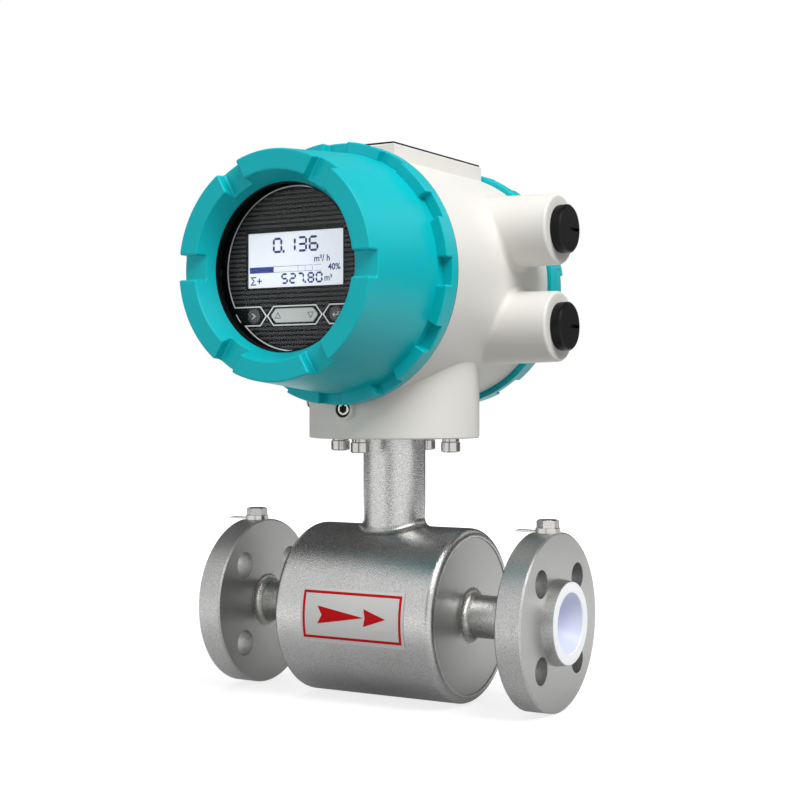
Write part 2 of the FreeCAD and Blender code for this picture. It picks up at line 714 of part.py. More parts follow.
def neck_bead(label):
    """Weld bead along the saddle between the neck and the shell."""
    stem = doc.addObject("Part::Cylinder", "bead_stem")
    bind(stem, "Radius", d.neck_radius + d.seat_gap)
    bind(stem, "Height", d.base_height - d.cut_past)
    drum = doc.addObject("Part::Cylinder", "bead_drum")
    bind(drum, "Radius", d.shell_radius + d.seat_gap)
    bind(drum, "Height", d.neck_radius * 4)
    place(drum, x=-d.neck_radius * 2, axis=Vector(0, 1, 0), turn=90)
    joined = doc.addObject("Part::Fuse", "bead_joined")
    joined.Base = drum
    joined.Tool = stem
    doc.recompute()
    seam = []
    for number, edge in enumerate(joined.Shape.Edges, 1):
        box = edge.BoundBox
        if box.XLength > 1 and box.YLength > 1 and box.ZMin > d.shell_radius.value / 2:
            if box.ZMax < d.shell_radius.value + 1:
                seam.append((number, d.weld_leg.value, d.weld_leg.value))
    rounded = doc.addObject("Part::Fillet", "bead_rounded")
    rounded.Base = joined
    rounded.Edges = seam
    doc.recompute()
    bead = doc.addObject("Part::Cut", label)
    bead.Base = rounded
    bead.Tool = joined
    bead.Label = label
    pieces.append(bead)
    return bead


neck_bead("neck_weld")

# Plate on top of the neck, let into the underside of the housing
neck_plate = tube(
    "neck_plate", neck_bore, d.plate_radius - d.run_gap, plate_low, plate_low + d.plate_thick, "Z"
)
gasket_low = plate_low + d.plate_thick
gasket_rim = d.plate_radius - d.run_gap * 3
gasket = tube(
    "neck_gasket", d.wire_passage, gasket_rim, gasket_low, gasket_low + d.gasket_thick, "Z"
)
bolt_ring = d.neck_bolt_circle / 2
for body in (neck_plate, gasket):
    drill = sketch_on(body, "XY_Plane", body.Label + "_bolt_hole")
    circle(drill, bolt_ring, 0, d.neck_bolt_radius + d.run_gap)
    bored = extrude(body, drill, head_height, cut=True, back=True)
    repeat_round(body, bored, "Z_Axis", d.neck_bolt_count)

# Neck bolts with their spring washers, heads down
washer_low = plate_low - d.spring_washer_thick
washers = new_body("neck_bolt_washers")
washer_sketch = sketch_on(washers, "XY_Plane", "spring_washer", washer_low)
circle(washer_sketch, bolt_ring, 0, d.spring_washer_radius)
circle(washer_sketch, bolt_ring, 0, d.neck_bolt_radius + d.seat_gap * 4)
washer = extrude(washers, washer_sketch, d.spring_washer_thick)
split = sketch_on(washers, "XY_Plane", "washer_split", washer_low)
half = d.washer_split / 2
rectangle(split, bolt_ring + d.neck_bolt_radius, -half, bolt_ring + d.neck_bolt_head, half)
split_cut = extrude(washers, split, d.spring_washer_thick, cut=True, back=True)
repeat_round(washers, [washer, split_cut], "Z_Axis", d.neck_bolt_count)


def lathe_aside(body, name, aside, points):
    """Turns a (radius, height) outline about a line parallel to Z, aside along X."""
    sketch = sketch_on(body, "XZ_Plane", name)
    line = Part.LineSegment(Vector(aside.value, -1, 0), Vector(aside.value, 1, 0))
    sketch.addGeometry(line, True)
    tie_point(sketch, 0, 1, aside, -1)
    tie_point(sketch, 0, 2, aside, 1)
    polygon(sketch, [(aside + radius, height) for radius, height in points])
    return revolve(body, sketch, "Axis0")


bolts = new_body("neck_bolts")
head_low = washer_low - d.neck_bolt_head_height
bolt_turned = lathe_aside(bolts, "bolt_outline", bolt_ring, [
    (0, head_low),
    (d.neck_bolt_head - d.head_bevel, head_low),
    (d.neck_bolt_head, head_low + d.head_bevel),
    (d.neck_bolt_head, washer_low - d.head_bevel),
    (d.neck_bolt_head - d.head_bevel, washer_low),
    (d.neck_bolt_radius, washer_low),
    (d.neck_bolt_radius, washer_low + d.neck_bolt_length),
    (0, washer_low + d.neck_bolt_length),
])
socket = sketch_on(bolts, "XY_Plane", "bolt_socket", head_low)
hexagon(socket, bolt_ring, 0, d.neck_bolt_socket)
socket_cut = extrude(bolts, socket, d.neck_bolt_head_height / 2, cut=True, back=True)
repeat_round(bolts, [bolt_turned, socket_cut], "Z_Axis", d.neck_bolt_count)

# Housing casting: barrel, collars, base, cable entries, nameplate pad and screw bosses
housing = new_body("housing")
barrel = sketch_on(housing, "YZ_Plane", "housing_outline")
front_end = d.barrel_front + d.collar_length
rear_end = d.barrel_rear + d.collar_length
polygon(barrel, [
    (-front_end, 0),
    (-front_end, d.collar_radius - d.thread_bevel),
    (d.thread_bevel - front_end, d.collar_radius),
    (-d.barrel_front, d.collar_radius),
    (-d.barrel_front, d.head_radius),
    (d.barrel_rear, d.head_radius),
    (d.barrel_rear, d.collar_radius),
    (rear_end - d.thread_bevel, d.collar_radius),
    (rear_end, d.collar_radius - d.thread_bevel),
    (rear_end, 0),
])
revolve(housing, barrel)
base = sketch_on(housing, "XY_Plane", "housing_base")
circle(base, 0, 0, d.base_radius)
extrude(housing, base, d.head_rise, back=True)
entries = sketch_on(housing, "YZ_Plane", "cable_entries", d.entry_reach)
for rise in (d.entry_rise, -d.entry_rise):
    circle(entries, d.entry_back, rise, d.entry_radius)
entry_depth = d.entry_reach - d.cavity_radius / 2
extrude(housing, entries, entry_depth, back=True, draft=d.entry_draft)


def entry_seam(edge):
    """Test for the curved seams between the cable entries and the barrel."""
    if isinstance(edge.Curve, (Part.Circle, Part.Line, Part.BezierCurve)):
        return False
    return edge.BoundBox.XMin > d.cavity_radius.value / 2


soften(housing, "entry_seams", d.entry_round, entry_seam)
soften(housing, "entry_faces", d.casting_round, ring_at(d.entry_radius, "x", d.entry_reach))
soften(housing, "base_rim", d.edge_break, ring_at(d.base_radius, "z", -d.head_rise))
pad = sketch_on(housing, "XY_Plane", "nameplate_pad")
rectangle(pad, -d.label_pad_half, -d.label_pad_front, d.label_pad_half, d.label_pad_rear)
extrude(housing, pad, d.label_pad_rise)
pad_top = d.label_pad_rise.value
soften(housing, "pad_rim", d.edge_break, lambda edge: edge.BoundBox.ZMin > pad_top - 1e-3)
lock_boss = sketch_on(housing, "XZ_Plane", "lock_boss")
circle(lock_boss, -d.lock_side, -screw_drop, d.lock_boss_radius)
extrude(housing, lock_boss, d.barrel_front - d.run_gap)
ground_boss = sketch_on(housing, "YZ_Plane", "ground_boss")
circle(ground_boss, -d.ground_back, -ground_drop, d.ground_boss_radius)
extrude(housing, ground_boss, d.ground_reach, back=True)
soften(housing, "boss_rims", d.edge_break, ring_at(d.lock_boss_radius))

# Compartments, wire passage, recess for the neck plate and all the tapped holes
for name, low, high in (
    ("display_room", -front_end, -d.wall_front),
    ("terminal_room", d.wall_rear, rear_end),
):
    room = sketch_on(housing, "YZ_Plane", name)
    polygon(room, [(low, 0), (low, d.cavity_radius), (high, d.cavity_radius), (high, 0)])
    revolve(housing, room, cut=True)
recess = sketch_on(housing, "XZ_Plane", "neck_recess")
recess_top = d.plate_thick + d.gasket_thick - d.head_rise
passage_top = d.wire_passage / 3 - d.cavity_radius
polygon(recess, [
    (0, -d.head_rise),
    (d.plate_radius, -d.head_rise),
    (d.plate_radius, recess_top),
    (d.wire_passage, recess_top),
    (d.wire_passage, passage_top),
    (0, passage_top),
])
revolve(housing, recess, "V_Axis", cut=True)
threads = sketch_on(housing, "YZ_Plane", "entry_threads", d.entry_reach)
for rise in (d.entry_rise, -d.entry_rise):
    circle(threads, d.entry_back, rise, d.entry_bore)
extrude(housing, threads, entry_depth, cut=True)
tapped_depth = washer_low + d.neck_bolt_length + d.thread_runout - d.base_height
bolt_holes = sketch_on(housing, "XY_Plane", "base_threads", tapped_depth - d.head_rise)
circle(bolt_holes, bolt_ring, 0, d.neck_bolt_radius + d.seat_gap)
tapped_base = extrude(housing, bolt_holes, tapped_depth, cut=True)
repeat_round(housing, tapped_base, "Z_Axis", d.neck_bolt_count)
lock_seat = sketch_on(housing, "XZ_Plane", "lock_seat", d.barrel_front)
lock_seat_depth = d.run_gap + d.screw_sink + d.lock_head_height
circle(lock_seat, -d.lock_side, -screw_drop, d.lock_head_radius + d.lock_seat_gap)
extrude(housing, lock_seat, lock_seat_depth, cut=True)
lock_hole = sketch_on(housing, "XZ_Plane", "lock_thread", d.barrel_front)
circle(lock_hole, -d.lock_side, -screw_drop, d.lock_screw_radius + d.seat_gap)
extrude(housing, lock_hole, lock_seat_depth + d.lock_screw_length + d.thread_runout, cut=True)
ground_hole = sketch_on(housing, "YZ_Plane", "ground_thread", -d.ground_reach)
circle(ground_hole, -d.ground_back, -ground_drop, d.lock_screw_radius + d.seat_gap)
extrude(housing, ground_hole, d.lock_screw_length + d.thread_runout, cut=True, back=True)
place(housing, z=head_height)


def head_sketch(body, name, forward=0, turn=0):
    """A sketch across the head's axis, at a distance in front of its middle."""
    return sketch_on(body, "XZ_Plane", name, forward, turn)


def ring_edges(length):
    """Test for the edges of a cover's front ring, in front of the notch floors."""
    floor = (length - d.notch_depth).value

    def wanted(edge):
        return min(abs(vertex.Y) for vertex in edge.Vertexes) > floor - 1e-3

    return wanted


def rim_edge(edge):
    """Test for edges between the rim's outside and the floors of its pockets."""
    floor = (d.cover_rim_width - d.pocket_depth).value
    outside = d.cover_rim_radius.value
    if min(abs(vertex.Y) for vertex in edge.Vertexes) < floor - 1e-3:
        return False
    return max(math.hypot(vertex.X, vertex.Z) for vertex in edge.Vertexes) > outside - 1e-3


def screw_cover(label, length, glazed):
    """A screwed cover: rim with pockets, cone and a notched front ring.

    The outline starts at the joint and y grows towards the front ring.
    """
    bore = d.collar_radius + d.thread_gap
    start = d.cover_gap
    groove = bore_groove
    room_end = d.collar_length + d.collar_room
    mouth_floor = length - (d.funnel_depth if glazed else d.notch_depth + d.notch_floor)
    points = [
        (start, bore),
        (start, d.cover_rim_radius - d.rim_break),
        (start + d.rim_break, d.cover_rim_radius),
        (d.cover_rim_width, d.cover_rim_radius),
        (d.cover_rim_width, d.cover_root_radius),
        (length, d.cover_nose_radius),
        (length, d.cover_mouth),
    ]
    if glazed:
        lip_back = mouth_floor - d.lip_thick
        pocket_radius = d.glass_radius + d.run_gap
        points += [
            (mouth_floor, d.lip_radius),
            (lip_back, d.lip_radius),
            (lip_back, pocket_radius),
            (lip_back - d.glass_pocket_depth, pocket_radius),
            (lip_back - d.glass_pocket_depth, d.cavity_radius),
        ]
    else:
        points += [
            (mouth_floor, d.cover_mouth - d.mouth_slope),
            (mouth_floor, 0),
            (mouth_floor - d.lip_thick * 2, 0),
            (mouth_floor - d.lip_thick * 2, d.cavity_radius),
        ]
    seal_half = d.seal_section + d.run_gap
    points += [
        (room_end, d.cavity_radius),
        (room_end, bore),
        (d.seal_place + seal_half, bore),
        (d.seal_place + seal_half, groove),
        (d.seal_place - seal_half, groove),
        (d.seal_place - seal_half, bore),
    ]
    body = lathe(label, points, "Y")
    notch = head_sketch(body, label + "_notch", -length, -d.cover_turn)
    half = d.notch_width / 2
    rectangle(notch, d.lip_radius, -half, d.cover_root_radius, half)
    notched = extrude(body, notch, d.notch_depth, cut=True, back=True)
    repeat_round(body, notched, "Y_Axis", d.notch_count)
    pocket = head_sketch(body, label + "_pocket", -d.cover_rim_width, -d.cover_turn)
    half = d.pocket_width / 2
    rectangle(
        pocket, d.cover_root_radius - d.run_gap, -half, d.cover_rim_radius + d.cut_past, half
    )
    pocketed = extrude(body, pocket, d.pocket_depth, cut=True, back=True)
    repeat_round(body, pocketed, "Y_Axis", d.pocket_count)
    soften(body, label + "_ring", d.ring_round, ring_edges(length))
    soften(body, label + "_rim", d.lug_round, rim_edge)
    return body


seal_radius = d.collar_radius + d.run_gap + d.seal_section
bore_groove = seal_radius + d.seal_section + d.run_gap
front_cover = screw_cover("front_cover", d.front_cover_length, True)
place(front_cover, y=-d.barrel_front, z=head_height, turn=180)
rear_cover = screw_cover("rear_cover", d.rear_cover_length, False)
place(rear_cover, y=d.barrel_rear, z=head_height)

for name, y in (
    ("front_cover_seal", -d.barrel_front - d.seal_place),
    ("rear_cover_seal", d.barrel_rear + d.seal_place),
):
    seal = doc.addObject("Part::Torus", name)
    seal.Label = name
    bind(seal, "Radius1", seal_radius)
    bind(seal, "Radius2", d.seal_section)
    place(seal, y=y, z=head_height, axis=Vector(1, 0, 0), turn=90)
    pieces.append(seal)

# Window: gasket, glass and the ring that screws in behind them
glass_seat = d.front_cover_length - d.funnel_depth - d.lip_thick
glass_front = glass_seat - d.window_gasket_thick
glass_back = glass_front - d.glass_thick
in_cover = {"y": -d.barrel_front, "z": head_height, "turn": 180}
gasket_bore = d.lip_radius + d.gasket_edge
tube("window_gasket", gasket_bore, d.glass_radius, glass_front, glass_seat, "Y", **in_cover)
lathe("window_glass", [
    (glass_back, 0),
    (glass_back, d.glass_radius),
    (glass_front, d.glass_radius),
    (glass_front, 0),
], "Y", **in_cover)
ring_outer = d.glass_radius + d.run_gap - d.seat_gap
ring = tube(
    "glass_ring", d.ring_inner, ring_outer, glass_back - d.ring_thick, glass_back, "Y", **in_cover
)
spanner = head_sketch(ring, "spanner_slot", d.ring_thick - glass_back)
half = d.ring_thick / 2
rectangle(spanner, d.ring_inner - d.cut_past, -half, ring_outer + d.cut_past, half)
slot = extrude(ring, spanner, half, cut=True)
repeat_round(ring, slot, "Y_Axis", 2)

# Display panel with its window, key holes, posts and the ears of the rocker's pin
panel_front = d.barrel_front + glass_back - d.panel_gap
panel_back = panel_front - d.panel_thick
in_head = {"z": head_height}
hole_gap = d.run_gap


def rocker_outline(sketch, grow):
    """Long hexagon of the rocker key, grown all round."""
    tip = d.rocker_half + grow
    flat = d.rocker_flat + grow / 2
    high = d.key_height + d.rocker_width / 2 + grow
    low = d.key_height - d.rocker_width / 2 - grow
    polygon(sketch, [
        (-tip, d.key_height),
        (-flat, low),
        (flat, low),
        (tip, d.key_height),
        (flat, high),
        (-flat, high),
    ])


panel = new_body("display_panel")
disc = head_sketch(panel, "panel_disc", panel_back)
circle(disc, 0, 0, d.panel_radius)
extrude(panel, disc, d.panel_thick)
openings = head_sketch(panel, "panel_openings", panel_front)
rectangle(openings, -d.screen_half, d.screen_bottom, d.screen_half, d.screen_top)
for side in (-1, 1):
    circle(openings, d.key_side * side, d.key_height, d.key_radius + hole_gap)
rocker_outline(openings, hole_gap)
extrude(panel, openings, d.panel_thick, cut=True)
post = head_sketch(panel, "panel_post", panel_back)
circle(post, d.post_circle, 0, d.post_radius)
posted = extrude(panel, post, d.panel_post, back=True)
repeat_round(panel, posted, "Y_Axis", 4)
ear_low = d.rocker_width / 2 + hole_gap * 2
ear_high = ear_low + d.ear_thick
ears = head_sketch(panel, "rocker_ears", panel_back)
for side in (-1, 1):
    low, high = (d.key_height + ear_low * side, d.key_height + ear_high * side)
    rectangle(ears, -d.ear_half, low, d.ear_half, high)
extrude(panel, ears, d.pin_depth + d.pin_radius + d.pin_wall, back=True)
pin_place = d.pin_depth - panel_back
pin_line = sketch_on(panel, "XY_Plane", "ear_holes", d.key_height + ear_high)
circle(pin_line, 0, pin_place, d.pin_radius + d.seat_gap)
extrude(panel, pin_line, ear_high * 2, cut=True)
place(panel, **in_head)

pin = new_body("rocker_pin")
pin_round = sketch_on(pin, "XY_Plane", "rocker_pin_round", d.key_height - ear_high)
circle(pin_round, 0, pin_place, d.pin_radius)
extrude(pin, pin_round, ear_high * 2)
place(pin, **in_head)

# Keys: round ones with a collar behind the panel, and the rocker on its pin
for side, name in ((-1, "select_key"), (1, "enter_key")):
    body = new_body(name)
    collar_front = panel_back - d.run_gap
    collar_back = collar_front - d.key_collar
    collar = head_sketch(body, name + "_collar", collar_back)
    circle(collar, d.key_side * side, d.key_height, d.key_radius + d.key_collar)
    extrude(body, collar, d.key_collar)
    head = head_sketch(body, name + "_head", collar_front)
    circle(head, d.key_side * side, d.key_height, d.key_radius)
    extrude(body, head, panel_front + d.key_proud - collar_front)
    stem = head_sketch(body, name + "_stem", collar_back)
    circle(stem, d.key_side * side, d.key_height, d.stem_radius)
    extrude(body, stem, d.key_travel, back=True)
    place(body, **in_head)

rocker = new_body("rocker_key")
rocker_face = head_sketch(rocker, "rocker_face", panel_back)
rocker_outline(rocker_face, 0)
extrude(rocker, rocker_face, d.panel_thick + d.key_proud)
hub = head_sketch(rocker, "rocker_hub", panel_back)
hub_half = d.rocker_width / 2
rectangle(hub, -d.ear_half, d.key_height - hub_half, d.ear_half, d.key_height + hub_half)
extrude(rocker, hub, d.pin_depth + d.pin_radius + d.pin_wall, back=True)
hub_hole = sketch_on(rocker, "XY_Plane", "hub_hole", d.key_height + hub_half)
circle(hub_hole, 0, pin_place, d.pin_radius + d.seat_gap)
extrude(rocker, hub_hole, d.rocker_width, cut=True)
feet = head_sketch(rocker, "rocker_feet", panel_back)
for side in (-1, 1):
    circle(feet, d.switch_side * side, d.key_height, d.stem_radius)
extrude(rocker, feet, d.key_travel + d.key_collar + d.run_gap, back=True)
place(rocker, **in_head)

# Screen module behind the window, display board and the switches under the keys
module = new_body("screen_module")
frame_sketch = head_sketch(module, "screen_frame", panel_back)
rectangle(
    frame_sketch,
    -d.screen_half - d.screen_margin,
    d.screen_bottom - d.screen_margin,
    d.screen_half + d.screen_margin,
    d.screen_top + d.screen_margin,
)
extrude(module, frame_sketch, d.screen_depth, back=True)
pane = head_sketch(module, "screen_pane", panel_back)
inset = d.seat_gap * 2
rectangle(
    pane,
    -d.screen_half + inset,
    d.screen_bottom + inset,
    d.screen_half - inset,
    d.screen_top - inset,
)
extrude(module, pane, d.panel_thick - d.pane_inset)
place(module, **in_head)

board_front = panel_back - d.panel_post
board_back = board_front - d.board_thick
power_back = d.wall_front + d.rear_standoff
power_front = power_back + d.board_thick
main_back = power_front + d.mid_standoff
main_front = main_back + d.board_thick
for name, back, radius in (
    ("display_board", board_back, d.board_radius),
    ("main_board", main_back, d.main_board_radius),
    ("power_board", power_back, d.main_board_radius),
):
    body = new_body(name)
    outline = head_sketch(body, name + "_outline", back)
    circle(outline, 0, 0, radius)
    extrude(body, outline, d.board_thick)
    place(body, **in_head)

switches = new_body("key_switches")
switch_sketch = head_sketch(switches, "switch_bodies", board_front)
for place_x in (-d.key_side, -d.switch_side, d.switch_side, d.key_side):
    half = d.switch_half
    rectangle(
        switch_sketch, place_x - half, d.key_height - half, place_x + half, d.key_height + half
    )
extrude(switches, switch_sketch, d.switch_height)
place(switches, **in_head)

standoffs = new_body("standoffs")
for name, low, high in (
    ("rear_posts", d.wall_front, power_back),
    ("mid_posts", power_front, main_back),
    ("front_posts", main_front, board_back),
):
    post = head_sketch(standoffs, name, low)
    circle(post, d.post_circle, 0, d.standoff_radius)
    column = extrude(standoffs, post, high - low)
    repeat_round(standoffs, column, "Y_Axis", 4)
place(standoffs, **in_head)

transformer = new_body("power_transformer")
coil_block = head_sketch(transformer, "transformer_core", power_front)
rectangle(coil_block, -d.core_half, -d.core_high, d.core_half, d.core_high)
extrude(transformer, coil_block, d.core_deep)
winding = head_sketch(transformer, "transformer_winding", power_front + d.winding_lift)
rectangle(winding, -d.winding_half, -d.winding_high, d.winding_half, d.winding_high)
extrude(transformer, winding, d.core_deep)
place(transformer, **in_head)

# Terminal block and its screws on the rear face of the inner wall
terminal = new_body("terminal_block")
strip = head_sketch(terminal, "terminal_strip", -d.wall_rear)
half = d.terminal_width / 2
rectangle(strip, -d.terminal_half, -half, d.terminal_half, half)
extrude(terminal, strip, d.terminal_height, back=True)
wells = head_sketch(terminal, "terminal_wells", -d.wall_rear - d.terminal_height)
terminals = 6
pitch = d.terminal_half * 2 / terminals
middles = [pitch * (number - (terminals - 1) / 2) for number in range(terminals)]
for middle in middles:
    circle(wells, middle, 0, d.terminal_screw + d.seat_gap)
extrude(terminal, wells, d.terminal_height / 2, cut=True, back=True)
place(terminal, **in_head)
terminal_screws = new_body("terminal_screws")
heads = head_sketch(terminal_screws, "terminal_heads", -d.wall_rear - d.terminal_height / 2)
for middle in middles:
    circle(heads, middle, 0, d.terminal_screw)
extrude(terminal_screws, heads, d.terminal_height / 4, back=True)
place(terminal_screws, **in_head)

# Nameplate on its pad
nameplate = new_body("nameplate")
sheet_sketch = sketch_on(nameplate, "XY_Plane", "nameplate_outline", d.label_pad_rise)
edge = d.edge_break
rectangle(
    sheet_sketch,
    edge - d.label_pad_half,
    edge - d.label_pad_front,
    d.label_pad_half - edge,
    d.label_pad_rear - edge,
)
extrude(nameplate, sheet_sketch, d.nameplate_thick)
place(nameplate, **in_head)

# Cable plugs with their flat seals
for sign, name in ((1, "upper_plug"), (-1, "lower_plug")):
    seal_low = d.entry_reach + d.seat_gap * 2
    head_low_x = seal_low + d.plug_seal_thick + d.seat_gap * 2
    head_top = head_low_x + d.plug_head
    at = {"y": d.entry_back, "z": head_height + d.entry_rise * sign}
    thread = d.entry_bore - d.seat_gap
    plug = lathe(name, [
        (d.entry_reach - d.plug_shank, 0),
        (d.entry_reach - d.plug_shank, thread),
        (head_low_x, thread),
        (head_low_x, d.plug_radius),
        (head_top - d.edge_break, d.plug_radius),
        (head_top, d.plug_radius - d.edge_break),
        (head_top, 0),
    ], "X", **at)
    slot = sketch_on(plug, "YZ_Plane", name + "_slot", head_top)
    rectangle(slot, d.slot_start, -d.slot_width / 2, d.slot_end, d.slot_width / 2)
    extrude(plug, slot, d.slot_depth, cut=True)
    washer_name = name + "_seal"
    tube(
        washer_name,
        thread + d.seat_gap * 2,
        d.plug_radius - d.run_gap,
        seal_low,
        seal_low + d.plug_seal_thick,
        "X",
        **at,
    )

# Lock screw under the front cover's rim, and the outside ground screw
lock = new_body("lock_screw")
lock_face = d.barrel_front - d.run_gap - d.screw_sink
lock_head = head_sketch(lock, "lock_head", lock_face)
circle(lock_head, -d.lock_side, -screw_drop, d.lock_head_radius)
extrude(lock, lock_head, d.lock_head_height, back=True)
soften(lock, "lock_head_bevel", d.head_bevel, ring_at(d.lock_head_radius, "y", -lock_face), flat=True)
lock_shank = head_sketch(lock, "lock_shank", lock_face - d.lock_head_height)
circle(lock_shank, -d.lock_side, -screw_drop, d.lock_screw_radius)
extrude(lock, lock_shank, d.lock_screw_length, back=True)
lock_socket = head_sketch(lock, "lock_socket", lock_face)
hexagon(lock_socket, -d.lock_side, -screw_drop, d.screw_socket)
extrude(lock, lock_socket, d.socket_depth, cut=True)
place(lock, **in_head)

ground = new_body("ground_screw")
ground_seat = d.ground_reach + d.ground_washer_thick
ground_top = ground_seat + d.ground_head_height
ground_head = sketch_on(ground, "YZ_Plane", "ground_head", -ground_seat)
circle(ground_head, -d.ground_back, -ground_drop, d.ground_head_radius)
extrude(ground, ground_head, d.ground_head_height, back=True)
ground_bevel = ring_at(d.ground_head_radius, "x", -ground_top)
soften(ground, "ground_head_bevel", d.head_bevel, ground_bevel, flat=True)
ground_shank = sketch_on(ground, "YZ_Plane", "ground_shank", -ground_seat)
circle(ground_shank, -d.ground_back, -ground_drop, d.lock_screw_radius)
extrude(ground, ground_shank, d.lock_screw_length)
ground_socket = sketch_on(ground, "YZ_Plane", "ground_socket", -ground_top)
hexagon(ground_socket, -d.ground_back, -ground_drop, d.screw_socket)
extrude(ground, ground_socket, d.socket_depth, cut=True, back=True)
place(ground, **in_head)
tube(
    "ground_screw_washer",
    d.lock_screw_radius + d.seat_gap,
    d.ground_washer_radius,
    -ground_seat,
    -d.ground_reach,
    y=-d.ground_back,
    z=head_height - ground_drop,
)

# Ground tabs on both flanges, each under a washer and a hex bolt
tabs = new_body("ground_tabs")
tab_sketch = sketch_on(tabs, "XY_Plane", "tab_outline", flat_height)
tab_washers = new_body("ground_washers")
tab_washer = sketch_on(tab_washers, "XY_Plane", "tab_washer", flat_height + d.tab_thick)
tab_bolts = new_body("ground_bolts")
hex_low = flat_height + d.tab_thick + d.washer_thick
hex_sketch = sketch_on(tab_bolts, "XY_Plane", "hex_heads", hex_low)
for side in (-1, 1):
    x = tab_bolt * side
    circle(tab_sketch, x, 0, d.tab_ring)
    circle(tab_sketch, x, 0, d.stud_radius + d.seat_gap)
    circle(tab_washer, x, 0, d.washer_radius)
    circle(tab_washer, x, 0, d.stud_radius + d.seat_gap)
    hexagon(hex_sketch, x, 0, d.hex_flats)
extrude(tabs, tab_sketch, d.tab_thick)
tongue_sketch = sketch_on(tabs, "XY_Plane", "tab_tongue", flat_height)
for side in (-1, 1):
    x = tab_bolt * side
    half = d.tongue_width / 2
    rectangle(tongue_sketch, x - d.tab_reach, -half, x - d.tab_ring + d.tab_thick, half)
extrude(tabs, tongue_sketch, d.tab_thick)
extrude(tab_washers, tab_washer, d.washer_thick)
extrude(tab_bolts, hex_sketch, d.hex_height)
stud_sketch = sketch_on(tab_bolts, "XY_Plane", "bolt_studs", hex_low)
for side in (-1, 1):
    circle(stud_sketch, tab_bolt * side, 0, d.stud_radius)
extrude(tab_bolts, stud_sketch, d.stud_length + d.tab_thick + d.washer_thick, back=True)

# Every object has to be sound before anything is written
doc.recompute()
broken = [item.Label for item in doc.Objects if {"Invalid", "Error"} & set(item.State)]
for piece in pieces:
    if piece.Shape.isNull() or not piece.Shape.isValid():
        broken.append(piece.Label)
if broken:
    raise RuntimeError("not built: " + ", ".join(broken))
for piece in pieces:
    piece.Shape.exportStep(f"parts/{piece.Label}.step")
print(len(pieces), "pieces written")
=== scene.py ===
# %% [markdown]
# # An electromagnetic flow meter, dressed for its portrait
#
# The object is a pipe meter: two flanges, a bead-blasted sensor drum between them, a
# neck, and a painted display head with screwed covers.  Its solids come from a packed
# CAD frame and stay where they are.  What follows adds only what paint, print and light
# give to such an object.  Each cell says what a piece or finish is on the real thing,
# how it could be made, and why it is made this way here.

# %% Load the frame and keep its box
import bpy
import json
import math
import numpy as np
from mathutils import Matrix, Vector


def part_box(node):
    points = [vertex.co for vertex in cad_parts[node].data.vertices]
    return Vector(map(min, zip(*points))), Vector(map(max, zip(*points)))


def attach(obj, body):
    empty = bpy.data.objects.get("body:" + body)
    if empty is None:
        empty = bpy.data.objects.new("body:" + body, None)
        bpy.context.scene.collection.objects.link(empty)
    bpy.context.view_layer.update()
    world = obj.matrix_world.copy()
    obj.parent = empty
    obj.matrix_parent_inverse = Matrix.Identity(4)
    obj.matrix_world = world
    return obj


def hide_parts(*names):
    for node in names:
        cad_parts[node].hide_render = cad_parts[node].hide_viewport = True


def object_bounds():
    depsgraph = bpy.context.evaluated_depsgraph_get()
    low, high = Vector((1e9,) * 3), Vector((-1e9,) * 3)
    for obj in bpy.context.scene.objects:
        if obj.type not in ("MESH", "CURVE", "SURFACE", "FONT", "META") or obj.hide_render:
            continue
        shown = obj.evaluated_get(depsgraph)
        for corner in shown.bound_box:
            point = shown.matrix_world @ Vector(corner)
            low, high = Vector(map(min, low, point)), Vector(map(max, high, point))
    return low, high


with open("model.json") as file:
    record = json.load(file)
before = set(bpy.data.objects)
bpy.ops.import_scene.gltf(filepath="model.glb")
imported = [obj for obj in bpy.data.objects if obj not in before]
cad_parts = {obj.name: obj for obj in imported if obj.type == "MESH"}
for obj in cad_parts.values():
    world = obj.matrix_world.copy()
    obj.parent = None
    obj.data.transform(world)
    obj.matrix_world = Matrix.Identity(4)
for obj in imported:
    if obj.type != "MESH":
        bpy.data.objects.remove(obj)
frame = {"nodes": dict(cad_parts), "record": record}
nodes = frame["nodes"]
cad_low, cad_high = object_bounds()
MM = 0.001

# %% [markdown]
# ## Where the photographer stood
#
# A camera can be set by eye, or worked out from points whose places are known on the
# object and in the picture.  The second way is used: the flange rims, the drum's ends
# and the display's circle fix a camera that stands level with the neck, 31 degrees to
# the right of the display's axis.

# %% Camera
VIEW_TURN = 0.5381
VIEW_DISTANCE = 0.8217
VIEW_HEIGHT = 0.1092
VIEW_YAW = -0.0036
VIEW_PITCH = 0.0024
FOCAL_PIXELS = 1549.4
PICTURE = 800

heading = VIEW_TURN + VIEW_YAW
sight = Vector((
    -math.sin(heading) * math.cos(VIEW_PITCH),
    math.cos(heading) * math.cos(VIEW_PITCH),
    math.sin(VIEW_PITCH),
))
camera_data = bpy.data.cameras.new("camera")
camera_data.sensor_width = 36
camera_data.lens = FOCAL_PIXELS / PICTURE * camera_data.sensor_width
camera_data.clip_start = 0.01
camera = bpy.data.objects.new("camera", camera_data)
camera.location = (
    VIEW_DISTANCE * math.sin(VIEW_TURN),
    -VIEW_DISTANCE * math.cos(VIEW_TURN),
    VIEW_HEIGHT,
)
camera.rotation_mode = "QUATERNION"
camera.rotation_quaternion = sight.to_track_quat("-Z", "Y")
bpy.context.scene.collection.objects.link(camera)
bpy.context.scene.camera = camera
print("camera: lens", round(camera_data.lens, 1), "mm")

# %% [markdown]
# ## Nodes with few words
#
# A material is a small graph.  A few helpers keep the graphs readable.  They add a node
# and set its values by name, do one sum, or stretch a value over a new range.  One
# turns a colour as people write it, from 0 to 255 on a screen, into the linear light
# that Blender counts in.

